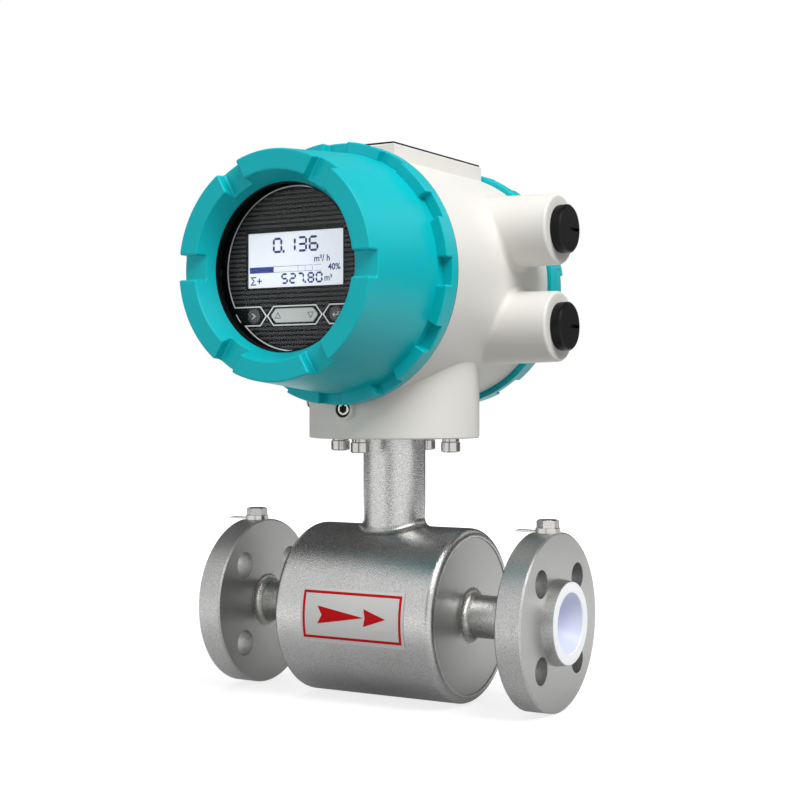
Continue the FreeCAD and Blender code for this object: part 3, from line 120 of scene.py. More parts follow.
# %% Helpers for materials
def linear(red, green, blue):
    """Screen colour (0-255) to linear light: c/12.92 when dark, else ((c+0.055)/1.055)^2.4."""
    screen = np.array([red, green, blue]) / 255
    light = np.where(screen < 0.04045, screen / 12.92, ((screen + 0.055) / 1.055) ** 2.4)
    return (*light.tolist(), 1.0)


def feed(tree, socket, value):
    """Links a socket to another node's output, or sets it to a plain value."""
    if isinstance(value, bpy.types.NodeSocket):
        tree.links.new(value, socket)
    else:
        socket.default_value = value


def put(tree, kind, **values):
    """Adds a node.  Lower-case names are its own settings, capitalised ones its inputs."""
    node = tree.nodes.new("ShaderNode" + kind)
    for name, value in values.items():
        if name[0].islower():
            setattr(node, name, value)
        else:
            feed(tree, node.inputs[name.replace("_", " ")], value)
    return node


def maths(tree, operation, first, second=0.0):
    """One Math node on one or two numbers or sockets."""
    node = put(tree, "Math", operation=operation)
    feed(tree, node.inputs[0], first)
    feed(tree, node.inputs[1], second)
    return node.outputs[0]


def spread(tree, value, low, high, to_low=0.0, to_high=1.0):
    """Stretches low..high of a value over to_low..to_high."""
    node = put(
        tree, "MapRange", Value=value,
        From_Min=low, From_Max=high, To_Min=to_low, To_Max=to_high,
    )
    return node.outputs["Result"]


def blend_colours(tree, share, first, second):
    """Mixes two colours by a share from 0 to 1."""
    node = put(tree, "Mix", data_type="RGBA")
    for number, value in ((0, share), (6, first), (7, second)):
        feed(tree, node.inputs[number], value)
    return node.outputs[2]


def dimmed(tree, colour, share):
    """A colour times a share."""
    return put(tree, "VectorMath", operation="SCALE", Vector=colour, Scale=share).outputs[0]


def own_place(tree):
    """Where the shaded point lies on its own object, in metres."""
    return put(tree, "TexCoord").outputs["Object"]


def noise(tree, scale, detail):
    """Cloudy values round 0.5, with a scale per metre."""
    clouds = put(tree, "TexNoise", Vector=own_place(tree), Scale=scale, Detail=detail)
    return clouds.outputs["Fac"]


def length_of(tree, vector):
    """The length of a vector."""
    return put(tree, "VectorMath", operation="LENGTH", Vector=vector).outputs["Value"]


print("helpers ready")

# %% [markdown]
# ## Two skins that many finishes share
#
# **Powder paint** isn't a flat colour.  It flows while it bakes, which leaves a soft
# orange peel about a millimetre wide, and its tone and gloss drift a little over the
# casting.  **Blasted steel** is the opposite: glass beads leave thousands of tiny
# dents, so the metal glints in bright and dark specks.  Each is a node group with
# named inputs, placed in every material that needs it with that finish's own values.

# %% Node group: paint skin
def new_group(name, inputs):
    """A node group with (name, kind, default) inputs that gives a colour and two values."""
    group = bpy.data.node_groups.new(name, "ShaderNodeTree")
    for label, kind, default in inputs:
        kind = "NodeSocket" + kind
        socket = group.interface.new_socket(label, in_out="INPUT", socket_type=kind)
        socket.default_value = default
    for label, kind in (("Colour", "Color"), ("Roughness", "Float"), ("Height", "Float")):
        group.interface.new_socket(label, in_out="OUTPUT", socket_type="NodeSocket" + kind)
    source = group.nodes.new("NodeGroupInput").outputs
    sink = group.nodes.new("NodeGroupOutput").inputs
    return group, source, sink


WHITE = (1.0, 1.0, 1.0, 1.0)
TONE_CLOUDS = 22.0
FINE_PER_PEEL = 3.1
FINE_SHARE = 0.35
paint_skin, given, result = new_group(
    "paint_skin",
    [
        ("Colour", "Color", WHITE),
        ("Drift", "Float", 0.06),
        ("Peel per metre", "Float", 700.0),
        ("Roughness", "Float", 0.35),
        ("Roughness drift", "Float", 0.08),
    ],
)
tree = paint_skin
peel = noise(tree, given["Peel per metre"], 1.5)
fine = noise(tree, maths(tree, "MULTIPLY", given["Peel per metre"], FINE_PER_PEEL), 2.0)
palest = maths(tree, "SUBTRACT", 1.0, given["Drift"])
tone = spread(tree, noise(tree, TONE_CLOUDS, 3.0), 0.35, 0.65, palest, 1.0)
shift = maths(tree, "MULTIPLY", maths(tree, "SUBTRACT", fine, 0.5), given["Roughness drift"])
waves = maths(tree, "MULTIPLY", fine, FINE_SHARE)
feed(tree, result["Colour"], dimmed(tree, given["Colour"], tone))
feed(tree, result["Roughness"], maths(tree, "ADD", given["Roughness"], shift))
feed(tree, result["Height"], maths(tree, "ADD", peel, waves))
print("paint_skin:", len(paint_skin.nodes), "nodes")

# %% Node group: blasted grain
STEEL_CLOUDS = 30.0
DENT_SHARE = 0.6
blasted_grain, given, result = new_group(
    "blasted_grain",
    [
        ("Colour", "Color", WHITE),
        ("Dark share", "Float", 0.5),
        ("Specks per metre", "Float", 1500.0),
        ("Roughness low", "Float", 0.3),
        ("Roughness high", "Float", 0.5),
    ],
)
tree = blasted_grain
per_metre = given["Specks per metre"]
speck = spread(tree, noise(tree, per_metre, 3.0), 0.34, 0.66)
dents = put(tree, "TexVoronoi", Vector=own_place(tree), Scale=per_metre).outputs["Distance"]
tone = spread(tree, speck, 0.0, 1.0, maths(tree, "SUBTRACT", 1.0, given["Dark share"]), 1.0)
drift = spread(tree, noise(tree, STEEL_CLOUDS, 4.0), 0.3, 0.7, 0.9, 1.0)
rough = spread(tree, speck, 0.0, 1.0, given["Roughness high"], given["Roughness low"])
height = maths(tree, "ADD", speck, maths(tree, "MULTIPLY", dents, DENT_SHARE))
shade = maths(tree, "MULTIPLY", tone, drift)
feed(tree, result["Colour"], dimmed(tree, given["Colour"], shade))
feed(tree, result["Roughness"], rough)
feed(tree, result["Height"], height)
print("blasted_grain:", len(blasted_grain.nodes), "nodes")

# %% [markdown]
# ## Finishes
#
# Every finish is one material around a Principled shader.  Numbers that are the same
# all over sit on the shader's own sockets, and only what varies comes from a skin
# group.  Colours are written as they look under plain light.  Two tables hold the
# finishes: paints, plastics and inks in one, metals in the other.

# %% Materials
RELIEF = 0.0001


def new_finish(name, **values):
    """A material with its Principled shader's sockets set by name."""
    material = bpy.data.materials.new(name)
    material.use_nodes = True
    shader = material.node_tree.nodes["Principled BSDF"]
    for label, value in values.items():
        shader.inputs[label.replace("_", " ")].default_value = value
    return material, material.node_tree, shader


def dress(tree, shader, group, **values):
    """Places a skin group and leads its colour and roughness to the shader."""
    skin = put(tree, "Group", node_tree=group, **values).outputs
    tree.links.new(skin["Colour"], shader.inputs["Base Color"])
    tree.links.new(skin["Roughness"], shader.inputs["Roughness"])
    return skin


def emboss(tree, shader, height, strength, depth=RELIEF):
    """Lets a height tilt the surface's normal."""
    bump = put(tree, "Bump", Height=height, Strength=strength, Distance=depth)
    tree.links.new(bump.outputs["Normal"], shader.inputs["Normal"])


def painted(name, colour, roughness, peel, bump, drift, gloss):
    """Paint or plastic.  gloss is the shader's specular level, 0.5 as on plain lacquer."""
    material, tree, shader = new_finish(name, Specular_IOR_Level=gloss)
    skin = dress(
        tree, shader, paint_skin,
        Colour=linear(*colour), Drift=drift, Peel_per_metre=peel, Roughness=roughness,
    )
    if bump:
        emboss(tree, shader, skin["Height"], bump)
    return material


def metal(name, colour, dark, specks, low, high, bump):
    """Blasted, cast or turned metal."""
    material, tree, shader = new_finish(name, Metallic=1.0)
    skin = dress(
        tree, shader, blasted_grain, Colour=linear(*colour), Dark_share=dark,
        Specks_per_metre=specks, Roughness_low=low, Roughness_high=high,
    )
    emboss(tree, shader, skin["Height"], bump)
    return material


PAINTS = {  # colour, roughness, peel per metre, bump, drift, gloss
    "teal_paint": ((0, 190, 199), 0.38, 900, 0.2, 0.05, 0.3),
    "white_paint": ((236, 234, 228), 0.45, 1000, 0.16, 0.03, 0.4),
    "seal_rubber": ((20, 20, 21), 0.6, 1500, 0.1, 0.05, 0.2),
    "black_anodised": ((9, 9, 10), 0.5, 2500, 0.05, 0.05, 0.15),
    "plug_black": ((9, 9, 9), 0.4, 1500, 0.08, 0.08, 0.2),
    "board_green": ((24, 92, 52), 0.35, 900, 0.05, 0.05, 0.5),
    "panel_black": ((6, 6, 7), 0.5, 1600, 0.05, 0.1, 0.12),
    # the ribs are lighter than the black panel they are moulded in: a painted highlight
    "rib_painted_highlight": ((56, 56, 57), 0.5, 1600, 0.05, 0.1, 0.3),
    "cap_black": ((66, 66, 68), 0.35, 1500, 0.04, 0.05, 0.45),
    "key_grey": ((205, 204, 201), 0.4, 1500, 0.04, 0.03, 0.3),
    "print_white": ((236, 236, 236), 0.5, 1500, 0.0, 0.03, 0.5),
    "symbol_white": ((205, 205, 205), 0.5, 1500, 0.0, 0.03, 0.5),
    "symbol_dark": ((60, 60, 62), 0.5, 1500, 0.0, 0.03, 0.5),
    "screen_ink": ((8, 20, 112), 0.45, 1500, 0.0, 0.03, 0.5),
    "gauge_ink": ((10, 52, 150), 0.45, 1500, 0.0, 0.03, 0.5),
    "hairline_ink": ((120, 128, 160), 0.5, 1500, 0.0, 0.03, 0.5),
    "label_red": ((196, 4, 16), 0.5, 1500, 0.02, 0.06, 0.2),
}
METALS = {  # colour, dark share, specks per metre, roughness low and high, bump
    "blasted_steel": ((210, 210, 209), 0.3, 1700, 0.14, 0.3, 0.5),
    "drawn_steel": ((208, 208, 207), 0.3, 1700, 0.1, 0.22, 0.45),
    "bright_steel": ((208, 206, 202), 0.12, 2500, 0.16, 0.26, 0.06),
    "soft_iron": ((110, 110, 112), 0.3, 1200, 0.4, 0.6, 0.1),
    "copper_wire": ((190, 110, 60), 0.3, 1200, 0.25, 0.4, 0.1),
    "brass": ((205, 170, 100), 0.15, 2500, 0.2, 0.32, 0.05),
    "plate_metal": ((36, 36, 38), 0.2, 2500, 0.3, 0.45, 0.05),
}
finishes = {name: painted(name, *values) for name, values in PAINTS.items()}
finishes.update({name: metal(name, *values) for name, values in METALS.items()})
print("finishes:", len(finishes))

# %% [markdown]
# The liner is a white fluoropolymer.  Deep in the bore the white is darkened to a cool
# lavender, a painted shade, and the whole liner gives off a little light in its own
# colour, a painted glow.  The distance from the pipe's axis says how deep a point lies:
# the face is beyond the mouth's radius.

# %% Liner
MOUTH_RADIUS = 0.0154
MOUTH_EDGE = 0.0002
DEEP_RADIUS = 0.005
finishes["white_liner"], tree, shader = new_finish(
    "white_liner", Specular_IOR_Level=0.4, Emission_Strength=0.14,
)
across_pipe = put(tree, "VectorMath", operation="MULTIPLY", Vector=own_place(tree))
across_pipe.inputs[1].default_value = (0.0, 1.0, 1.0)
from_axis = length_of(tree, across_pipe.outputs[0])
outer = spread(tree, from_axis, MOUTH_RADIUS - MOUTH_EDGE, MOUTH_RADIUS)
shallow = spread(tree, from_axis, DEEP_RADIUS, MOUTH_RADIUS)
# Painted shade: the bore turns a darker lavender towards the pipe's axis, deeper in.
bore_painted_shade = blend_colours(tree, shallow, linear(196, 202, 226), linear(212, 217, 236))
liner_colour_and_painted_shade = blend_colours(tree, outer, bore_painted_shade, linear(248, 250, 254))
skin = dress(
    tree, shader, paint_skin,
    Colour=liner_colour_and_painted_shade, Peel_per_metre=300.0, Roughness=0.32, Drift=0.03,
)
emboss(tree, shader, skin["Height"], 0.02)
# Painted glow: the liner gives off a little light in its own colour.
tree.links.new(liner_colour_and_painted_shade, shader.inputs["Emission Color"])
print("liner: face beyond", MOUTH_RADIUS / MM, "mm from the axis")

# %% [markdown]
# ## Glass, screen and film
#
# The window is plain float glass.  A renderer that traces light through it would cast
# the panel behind into shade, so light that only asks whether it is blocked passes
# straight through.  The screen is a lit pane: it gives off its own pale light.  The
# film under the flow arrow is pale and thin, and lets some of the steel show.

# %% Window glass
finishes["window"], tree, shader = new_finish(
    "window", Base_Color=linear(250, 253, 253), Roughness=0.0, IOR=1.13,
    Transmission_Weight=1.0,
)
clear = put(tree, "BsdfTransparent", Color=WHITE)
passing = put(tree, "MixShader", Fac=put(tree, "LightPath").outputs["Is Shadow Ray"])
feed(tree, passing.inputs[1], shader.outputs[0])
feed(tree, passing.inputs[2], clear.outputs[0])
feed(tree, tree.nodes["Material Output"].inputs["Surface"], passing.outputs[0])
print("window: light that asks for shadows passes")

# %% Lit screen
PANE_COLOUR = linear(221, 223, 230)
PANE_CLOUDS = 60.0
finishes["screen"], tree, shader = new_finish(
    "screen", Base_Color=PANE_COLOUR, Roughness=0.4, Emission_Strength=0.48,
)
patches = spread(tree, noise(tree, PANE_CLOUDS, 2.0), 0.3, 0.7)
glow = blend_colours(tree, patches, linear(232, 238, 250), PANE_COLOUR)
tree.links.new(glow, shader.inputs["Emission Color"])
print("screen: lit from behind")

# %% Clear label film
finishes["label_film"], _, _ = new_finish(
    "label_film", Base_Color=linear(234, 234, 232), Roughness=0.3, Alpha=0.78,
)
print("label film: the steel shows under it")

# %% [markdown]
# A flange's rim is blasted, but its faces come from a lathe and are smooth.  The
# surface's own direction tells them apart: on a face it points along the pipe.  There
# the grain's relief and its dark specks fade out.

# %% Turned faces
FACE_BEGINS, FACE_FULL = 0.85, 0.97
FACE_SMOOTHING = 0.85
GRAIN_BUMP = 0.5
turned_faces, tree, shader = new_finish("turned_faces", Metallic=1.0)
skin = dress(
    tree, shader, blasted_grain, Colour=linear(206, 206, 205), Dark_share=0.3,
    Specks_per_metre=1700.0, Roughness_low=0.3, Roughness_high=0.5,
)
facing = put(tree, "SeparateXYZ", Vector=put(tree, "TexCoord").outputs["Normal"])
face = spread(tree, maths(tree, "ABSOLUTE", facing.outputs["X"]), FACE_BEGINS, FACE_FULL)
tone = blend_colours(tree, face, skin["Colour"], linear(184, 184, 182))
tree.links.new(tone, shader.inputs["Base Color"])
rim = maths(tree, "SUBTRACT", 1.0, maths(tree, "MULTIPLY", face, FACE_SMOOTHING))
emboss(tree, shader, maths(tree, "MULTIPLY", skin["Height"], rim), GRAIN_BUMP)
print("turned_faces:", len(tree.nodes), "nodes")

# %% [markdown]
# A hand-run weld freezes in scales, like coins pushed over one another.  Each scale is
# one swing of the torch, so the scales come at an even angle round the seam: the
# angle from the seam's axis, times their number, drives a rounded wave.

# %% Weld ripples
SCALES = 110
SCALE_RELIEF = 0.00012


def ripples(name, first, second):
    """Steel with height = |sin(angle * SCALES / 2)|, the angle taken from two of x, y and z."""
    material, tree, shader = new_finish(name, Metallic=1.0)
    dress(
        tree, shader, blasted_grain, Colour=linear(206, 204, 200), Dark_share=0.3,
        Specks_per_metre=1500.0, Roughness_low=0.16, Roughness_high=0.34,
    )
    split = put(tree, "SeparateXYZ", Vector=own_place(tree)).outputs
    angle = maths(tree, "ARCTAN2", split[second], split[first])
    swing = maths(tree, "SINE", maths(tree, "MULTIPLY", angle, SCALES / 2))
    emboss(tree, shader, maths(tree, "ABSOLUTE", swing), GRAIN_BUMP, SCALE_RELIEF)
    return material


X, Y, Z = 0, 1, 2
pipe_weld = ripples("x_axis_weld", Y, Z)
neck_weld = ripples("neck_weld_finish", X, Y)
print("welds:", SCALES, "scales round a seam")

# %% [markdown]
# ## Dressing the frame
#
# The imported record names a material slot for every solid.  Each node takes the finish
# of its slot, apart from the steel pieces that were turned, drawn or welded and so
# differ from the rest of their slot.  Nothing is moved or reshaped.

# %% Assign finishes
own_finish = {
    "inlet_flange": turned_faces, "outlet_flange": turned_faces,
    "inlet_end_plate": turned_faces, "outlet_end_plate": turned_faces,
    "end_plate_welds": pipe_weld, "flange_welds": pipe_weld, "neck_weld": neck_weld,
    "neck_pipe": finishes["drawn_steel"],
}
for row in frame["record"]["subparts"]:
    materials = nodes[row["node"]].data.materials
    materials.clear()
    materials.append(own_finish.get(row["node"], finishes[row["material_slot"]]))

# %% [markdown]
# ## From numbers to a mesh
#
# A new piece starts as arrays: where its points are, and which points make a face.
# Numpy works on whole arrays at once, so a shape is a formula over a grid and not a
# list of corners.  One function hands the arrays to Blender, tells the piece which
# body carries it and takes its finish from a slot of the record.

# %% Mesh helpers
def new_piece(name, points, faces, body, slot, finish=None, smooth=False):
    """A mesh from points in millimetres that rides on a body.

    The piece takes the slot's finish unless another is named.
    """
    mesh = bpy.data.meshes.new(name)
    mesh.from_pydata((np.asarray(points) * MM).tolist(), [], [list(face) for face in faces])
    mesh.validate()
    mesh.materials.append(finishes[finish or slot])
    mesh.polygons.foreach_set("use_smooth", np.full(len(mesh.polygons), smooth))
    piece = bpy.data.objects.new(name, mesh)
    bpy.context.scene.collection.objects.link(piece)
    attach(piece, body)
    print(name + ":", len(faces), "faces")
    return piece


def grid_faces(rows, columns, closed=False):
    """Quads of a rows x columns grid of points, joined round its columns if closed."""
    across = columns if closed else columns - 1
    row, column = np.meshgrid(np.arange(rows - 1), np.arange(across), indexing="ij")
    after = (column + 1) % columns
    here, below = row * columns, (row + 1) * columns
    quads = [here + column, here + after, below + after, below + column]
    return np.stack(quads, axis=-1).reshape(-1, 4)


def gather(parts):
    """Joins (points, faces) pairs into one pair, shifting each part's point numbers."""
    points, faces, start = [], [], 0
    for own_points, own_faces in parts:
        points.append(np.asarray(own_points, float))
        faces += [[int(number) + start for number in face] for face in own_faces]
        start += len(own_points)
    return np.concatenate(points), faces


def slab(outline, front, thick):
    """A flat print or plate: a closed outline of (x, z) between y = front and front + thick.

    The outline is taken in the direction that looks counter-clockwise from -Y, so both
    caps and the side quads point outwards.
    """
    flat = np.asarray(outline, float)
    after_x, after_z = np.roll(flat, -1, axis=0).T
    if np.sum(flat[:, 0] * after_z - after_x * flat[:, 1]) < 0:
        flat = flat[::-1]
    count = len(flat)
    near = np.column_stack([flat[:, 0], np.full(count, front), flat[:, 1]])
    far = near + [0, thick, 0]
    order = np.arange(count)
    after = (order + 1) % count
    sides = np.stack([order, order + count, after + count, after], axis=-1)
    faces = [order.tolist(), (order[::-1] + count).tolist(), *sides.tolist()]
    return np.concatenate([near, far]), faces


def stroke(points, width, closed=False):
    """Outline of a line of even width along (x, z) points, mitred at its corners.

    At each point the two neighbouring directions give a mitre: their mean normal,
    stretched by one over the cosine of half the turn.
    """
    line = np.asarray(points, float)
    ahead = np.roll(line, -1, axis=0) - line
    behind = line - np.roll(line, 1, axis=0)
    if not closed:
        ahead[-1] = behind[-1]
        behind[0] = ahead[0]
    ahead /= np.linalg.norm(ahead, axis=1)[:, None]
    behind /= np.linalg.norm(behind, axis=1)[:, None]
    normal = np.column_stack([-(ahead + behind)[:, 1], (ahead + behind)[:, 0]])
    normal /= np.linalg.norm(normal, axis=1)[:, None]
    square = np.column_stack([-ahead[:, 1], ahead[:, 0]])
    reach = width / 2 / np.clip(np.sum(normal * square, axis=1), 0.3, 1)
    return line + normal * reach[:, None], line - normal * reach[:, None]


def band(points, width, front, thick, closed=False):
    """A raised line: a rectangular bar along (x, z) points, from y = front to front + thick."""
    left, right = stroke(points, width, closed)
    ring = [(left, front), (right, front), (right, front + thick), (left, front + thick)]
    corners = [np.column_stack([side[:, 0], np.full(len(side), y), side[:, 1]]) for side, y in ring]
    cloud = np.stack(corners, axis=1)
    if closed:
        cloud = np.concatenate([cloud, cloud[:1]])
    faces = [face.tolist() for face in grid_faces(len(cloud), 4, closed=True)]
    if not closed:
        faces += [[3, 2, 1, 0], [len(cloud) * 4 - 4 + corner for corner in range(4)]]
    return cloud.reshape(-1, 3), faces


print("mesh helpers ready")

# %% [markdown]
# ## The display's face
#
# Behind the window lies a black moulded panel with fine level ribs, a white ring, and
# three cells with white outlines that hold the keys.  A picture of ribs would look
# painted on, so each rib is a real bar with rounded shoulders.  Its ends are worked
# out where it meets the ring, the screen or a key cell.

# %% Places on the display
HEAD_Z = 174.0
PANEL_FRONT = -92.6
SCREEN_HALF = 27.6
SCREEN_TOP = 17.9
SCREEN_FOOT = -8.7
KEY_LINE = -22.4
KEY_SIDE = 23.7
CELL_HALF = 4.55
CELL_TIP = 16.1
CELL_SLOPE = 3.9
RING_RADIUS = 39.5


def on_display(name, parts, body, slot, finish):
    """Makes one piece of parts that are drawn round the display's centre."""
    points, faces = gather(parts)
    new_piece(name, points + [0, 0, HEAD_Z], faces, body, slot, finish)


print("the display's centre lies at z =", HEAD_Z)

# %% Ribs
RIB_PITCH = 2.25
RIB_WIDTH = 1.15
RIB_HEIGHT = 0.38
RIB_OFFSET = 0.6
RIBS_EACH_WAY = 17
RIB_SPAN = RING_RADIUS - 0.5
RIB_CLEAR = 1.0
CELL_CLEAR = 0.4
SLOPE_CLEAR = 0.45
SHORTEST_RIB = 0.5


def rib_profile(count=9):
    """Rounded bar: rise = RIB_HEIGHT * (1 - |t|^4) over t * RIB_WIDTH / 2 for t from -1 to 1."""
    t = np.linspace(-1, 1, count)
    return t * RIB_WIDTH / 2, RIB_HEIGHT * (1 - np.abs(t) ** 4)


def rib_runs(z):
    """The stretches of x that a rib at height z covers, clear of screen and key cells."""
    half_rib = RIB_WIDTH / 2
    reach = math.sqrt(max(RIB_SPAN**2 - (abs(z) + half_rib) ** 2, 0))
    if SCREEN_FOOT - RIB_CLEAR - half_rib < z < SCREEN_TOP + RIB_CLEAR + half_rib:
        inner = SCREEN_HALF + RIB_CLEAR
        return [(-reach, -inner), (inner, reach)]
    off = abs(z - KEY_LINE)
    if off < CELL_HALF + half_rib + CELL_CLEAR:
        half = CELL_SLOPE * (off - half_rib) / CELL_HALF - SLOPE_CLEAR
        if half <= CELL_CLEAR:
            return []
        return [(side * CELL_TIP - half, side * CELL_TIP + half) for side in (-1, 1)]
    return [(-reach, reach)]


rib_rows = np.arange(-RIBS_EACH_WAY, RIBS_EACH_WAY + 1) * RIB_PITCH + RIB_OFFSET
runs = [(*run, z) for z in rib_rows for run in rib_runs(z) if run[1] - run[0] > SHORTEST_RIB]
low, high, level = np.array(runs).T
across, rise = rib_profile()
steps = len(across)
bars = np.zeros((len(runs), 2, steps, 3))
bars[:, 0, :, 0] = low[:, None]
bars[:, 1, :, 0] = high[:, None]
bars[..., 1] = PANEL_FRONT - rise
bars[..., 2] = level[:, None, None] + across + HEAD_Z
rib_faces = []
for start in range(0, len(runs) * 2 * steps, 2 * steps):
    last, end = start + steps - 1, start + 2 * steps - 1
    rib_faces += (grid_faces(2, steps) + start).tolist()
    rib_faces.append(list(range(start, start + steps)))
    rib_faces.append(list(range(end, last, -1)))
    rib_faces.append([last, start, start + steps, end])
# Painted highlight: the ribs take a lighter grey than the black panel, for light on their crests.
new_piece("panel_ribs", bars.reshape(-1, 3), rib_faces, "meter", "panel_black", "rib_painted_highlight")

# %% [markdown]
# The white lines are printed on the panel: a ring that runs into the two side cells, a
# hexagon round the rocker and one short arc beside the left key.  A printed line is a
# thin raised bar along a path, which keeps its width at corners by mitring them.

# %% Printed outlines
LINE = 0.6
LINE_THICK = 0.12
TIP_GAP = 0.35
TICK_OUT = 1.0
TICK_FROM, TICK_TO = 211.5, 218.5


def arc(radius, first, last, count):
    """Points on a circle from one angle to another, in degrees from +X towards +Z."""
    angle = np.radians(np.linspace(first, last, count))
    return np.column_stack([radius * np.cos(angle), radius * np.sin(angle)])


cell_top = KEY_LINE + CELL_HALF
cell_foot = KEY_LINE - CELL_HALF
top_angle = math.degrees(math.asin(cell_top / RING_RADIUS))
foot_angle = math.degrees(math.asin(cell_foot / RING_RADIUS))
shoulder = CELL_TIP + CELL_SLOPE
nook = CELL_TIP - CELL_SLOPE
right_cell = [(shoulder, cell_foot), (CELL_TIP + TIP_GAP, KEY_LINE), (shoulder, cell_top)]
left_cell = [(-x, z) for x, z in right_cell[::-1]]
upper_ring = arc(RING_RADIUS, top_angle, 180 - top_angle, 120)
lower_ring = arc(RING_RADIUS, 180 - foot_angle, 360 + foot_angle, 80)
ring_line = np.concatenate([upper_ring, left_cell, lower_ring, right_cell])
rocker_cell = [
    (-CELL_TIP + TIP_GAP, KEY_LINE), (-nook, cell_foot), (nook, cell_foot),
    (CELL_TIP - TIP_GAP, KEY_LINE), (nook, cell_top), (-nook, cell_top),
]
tick_line = arc(RING_RADIUS + TICK_OUT, TICK_FROM, TICK_TO, 8)
line_front = PANEL_FRONT - LINE_THICK
outline_parts = [
    band(ring_line, LINE, line_front, LINE_THICK, closed=True),
    band(rocker_cell, LINE, line_front, LINE_THICK, closed=True),
    band(tick_line, LINE * 0.8, line_front, LINE_THICK),
]
on_display("panel_outlines", outline_parts, "meter", "panel_black", "print_white")

# %% [markdown]
# ## What the screen shows
#
# A segment display builds each figure from seven bars.  One table says which bars each
# figure lights, and one formula gives a bar: a long hexagon with pointed ends.  The
# figures here are plain numbers with a unit, a filled gauge bar and a total.

# %% Seven-segment figures
INK = 0.06
INK_FRONT = PANEL_FRONT + 0.5 - INK
SEGMENTS = {
    "0": "abcdef", "1": "bc", "2": "abged", "3": "abgcd", "4": "fgbc",
    "5": "afgcd", "6": "afgedc", "7": "abc", "8": "abcdefg", "9": "abcdfg",
}


def segment_bar(start, end, width):
    """Long hexagon between two points: its tips on them, its sides half a width off the line."""
    way = (end - start) / np.linalg.norm(end - start)
    side = np.array([-way[1], way[0]]) * width / 2
    inset = way * width / 2
    first, last = start + inset, end - inset
    return np.array([start, first + side, last + side, end, last - side, first - side])


def figures(text, left, foot, height, wide, pitch, width):
    """Seven-segment figures from the left edge of the first one, with bars of a width.

    A point stands close to the figure before it and pushes the next one on.
    """
    parts = []
    gap = width * 0.14
    for character in text:
        if character == ".":
            corner = left - pitch + wide + width * 0.65, foot - width / 2
            square = np.array([(0, 0), (width, 0), (width, width * 1.2), (0, width * 1.2)])
            parts.append(slab(square + corner, INK_FRONT, INK))
            left += width * 1.15
            continue
        low, middle, top, right = foot, foot + height / 2, foot + height, left + wide
        ends = {
            "a": ((left, top), (right, top)), "b": ((right, top), (right, middle)),
            "c": ((right, middle), (right, low)), "d": ((left, low), (right, low)),
            "e": ((left, low), (left, middle)), "f": ((left, middle), (left, top)),
            "g": ((left, middle), (right, middle)),
        }
        for name in SEGMENTS[character]:
            start, end = (np.array(point, float) for point in ends[name])
            way = (end - start) / np.linalg.norm(end - start) * gap
            parts.append(slab(segment_bar(start + way, end - way, width), INK_FRONT, INK))
        left += pitch
    return parts


flow = figures("0.136", left=-12.4, foot=8.4, height=6.3, wide=4.4, pitch=6.5, width=1.15)
total = figures("527.80", left=-7.6, foot=-6.8, height=4.3, wide=3.0, pitch=4.7, width=0.95)
on_display("screen_figures", flow + total, "meter", "screen", "screen_ink")

# %% Gauge bar
GAUGE_LEFT = -26.7
GAUGE_FILLED = -12.5
GAUGE_FOOT, GAUGE_TOP = -1.5, 1.4
GAUGE_MARKS = (1.7, 5.8, 9.9)
GAUGE_TAIL = (10.8, 15.3)
HAIR = 0.22
TAIL_HAIR = 0.2
HAIR_INSET = 0.08
MARK_INSET = 0.1
fill = [
    (GAUGE_LEFT, GAUGE_FOOT), (GAUGE_FILLED, GAUGE_FOOT),
    (GAUGE_FILLED, GAUGE_TOP), (GAUGE_LEFT, GAUGE_TOP),
]
on_display("screen_gauge", [slab(fill, INK_FRONT, INK)], "meter", "screen", "gauge_ink")
hairlines = []
for z in (GAUGE_FOOT + HAIR_INSET, GAUGE_TOP - HAIR_INSET):
    hairlines.append(band([(GAUGE_FILLED, z), (GAUGE_MARKS[-1], z)], HAIR, INK_FRONT, INK))
    hairlines.append(band([(x, z) for x in GAUGE_TAIL], TAIL_HAIR, INK_FRONT, INK))
for x in GAUGE_MARKS:
    mark = [(x, GAUGE_FOOT + MARK_INSET), (x, GAUGE_TOP - MARK_INSET)]
    hairlines.append(band(mark, HAIR, INK_FRONT, INK))
on_display("screen_hairlines", hairlines, "meter", "screen", "hairline_ink")

# %% [markdown]
# Units are real letters.  Blender's own font makes them as flat text, which becomes a
# mesh before its place is applied, so that the piece's object stays at the origin.

# %% Units
LETTER_WEIGHT = 0.08


def letters(name, text, left, foot, size):
    """Flat text turned into a mesh that stands on the screen, reading from -Y."""
    curve = bpy.data.curves.new(name, "FONT")
    curve.body = text
    curve.size = size
    curve.extrude = INK / 2
    curve.offset = LETTER_WEIGHT
    source = bpy.data.objects.new(name + "_source", curve)
    bpy.context.scene.collection.objects.link(source)
    bpy.context.view_layer.update()
    evaluated = source.evaluated_get(bpy.context.evaluated_depsgraph_get())
    mesh = bpy.data.meshes.new_from_object(evaluated)
    bpy.data.objects.remove(source)
    points = np.zeros(len(mesh.vertices) * 3)
    mesh.vertices.foreach_get("co", points)
    x, y, z = points.reshape(-1, 3).T
    placed = np.column_stack([x + left, INK_FRONT + INK / 2 - z, y + foot])
    faces = [list(face.vertices) for face in mesh.polygons]
    bpy.data.meshes.remove(mesh)
    on_display(name, [(placed, faces)], "meter", "screen", "screen_ink")


letters("unit_flow", "m³/ h", 10.8, 2.9, 4.3)
letters("unit_share", "40%", 18.8, -1.4, 4.2)
letters("unit_total", "m³", 16.6, -6.5, 4.3)
letters("total_sign", "Σ+", -26.4, -7.3, 5.6)

# %% [markdown]
# ## Keys
#
# The round keys have a low dome with an arrow on it, and the rocker is moulded in two
# colours, with a triangle at either end.  The symbols are printed, so they are thin
# slabs on the key faces and ride with the keys.

# %% Key domes
KEY_FRONT = PANEL_FRONT - 0.35
DOME_RISE = 0.3
DOME_RADIUS = 3.45
DOME_ROUNDS = 10
DOME_WALL = 0.3


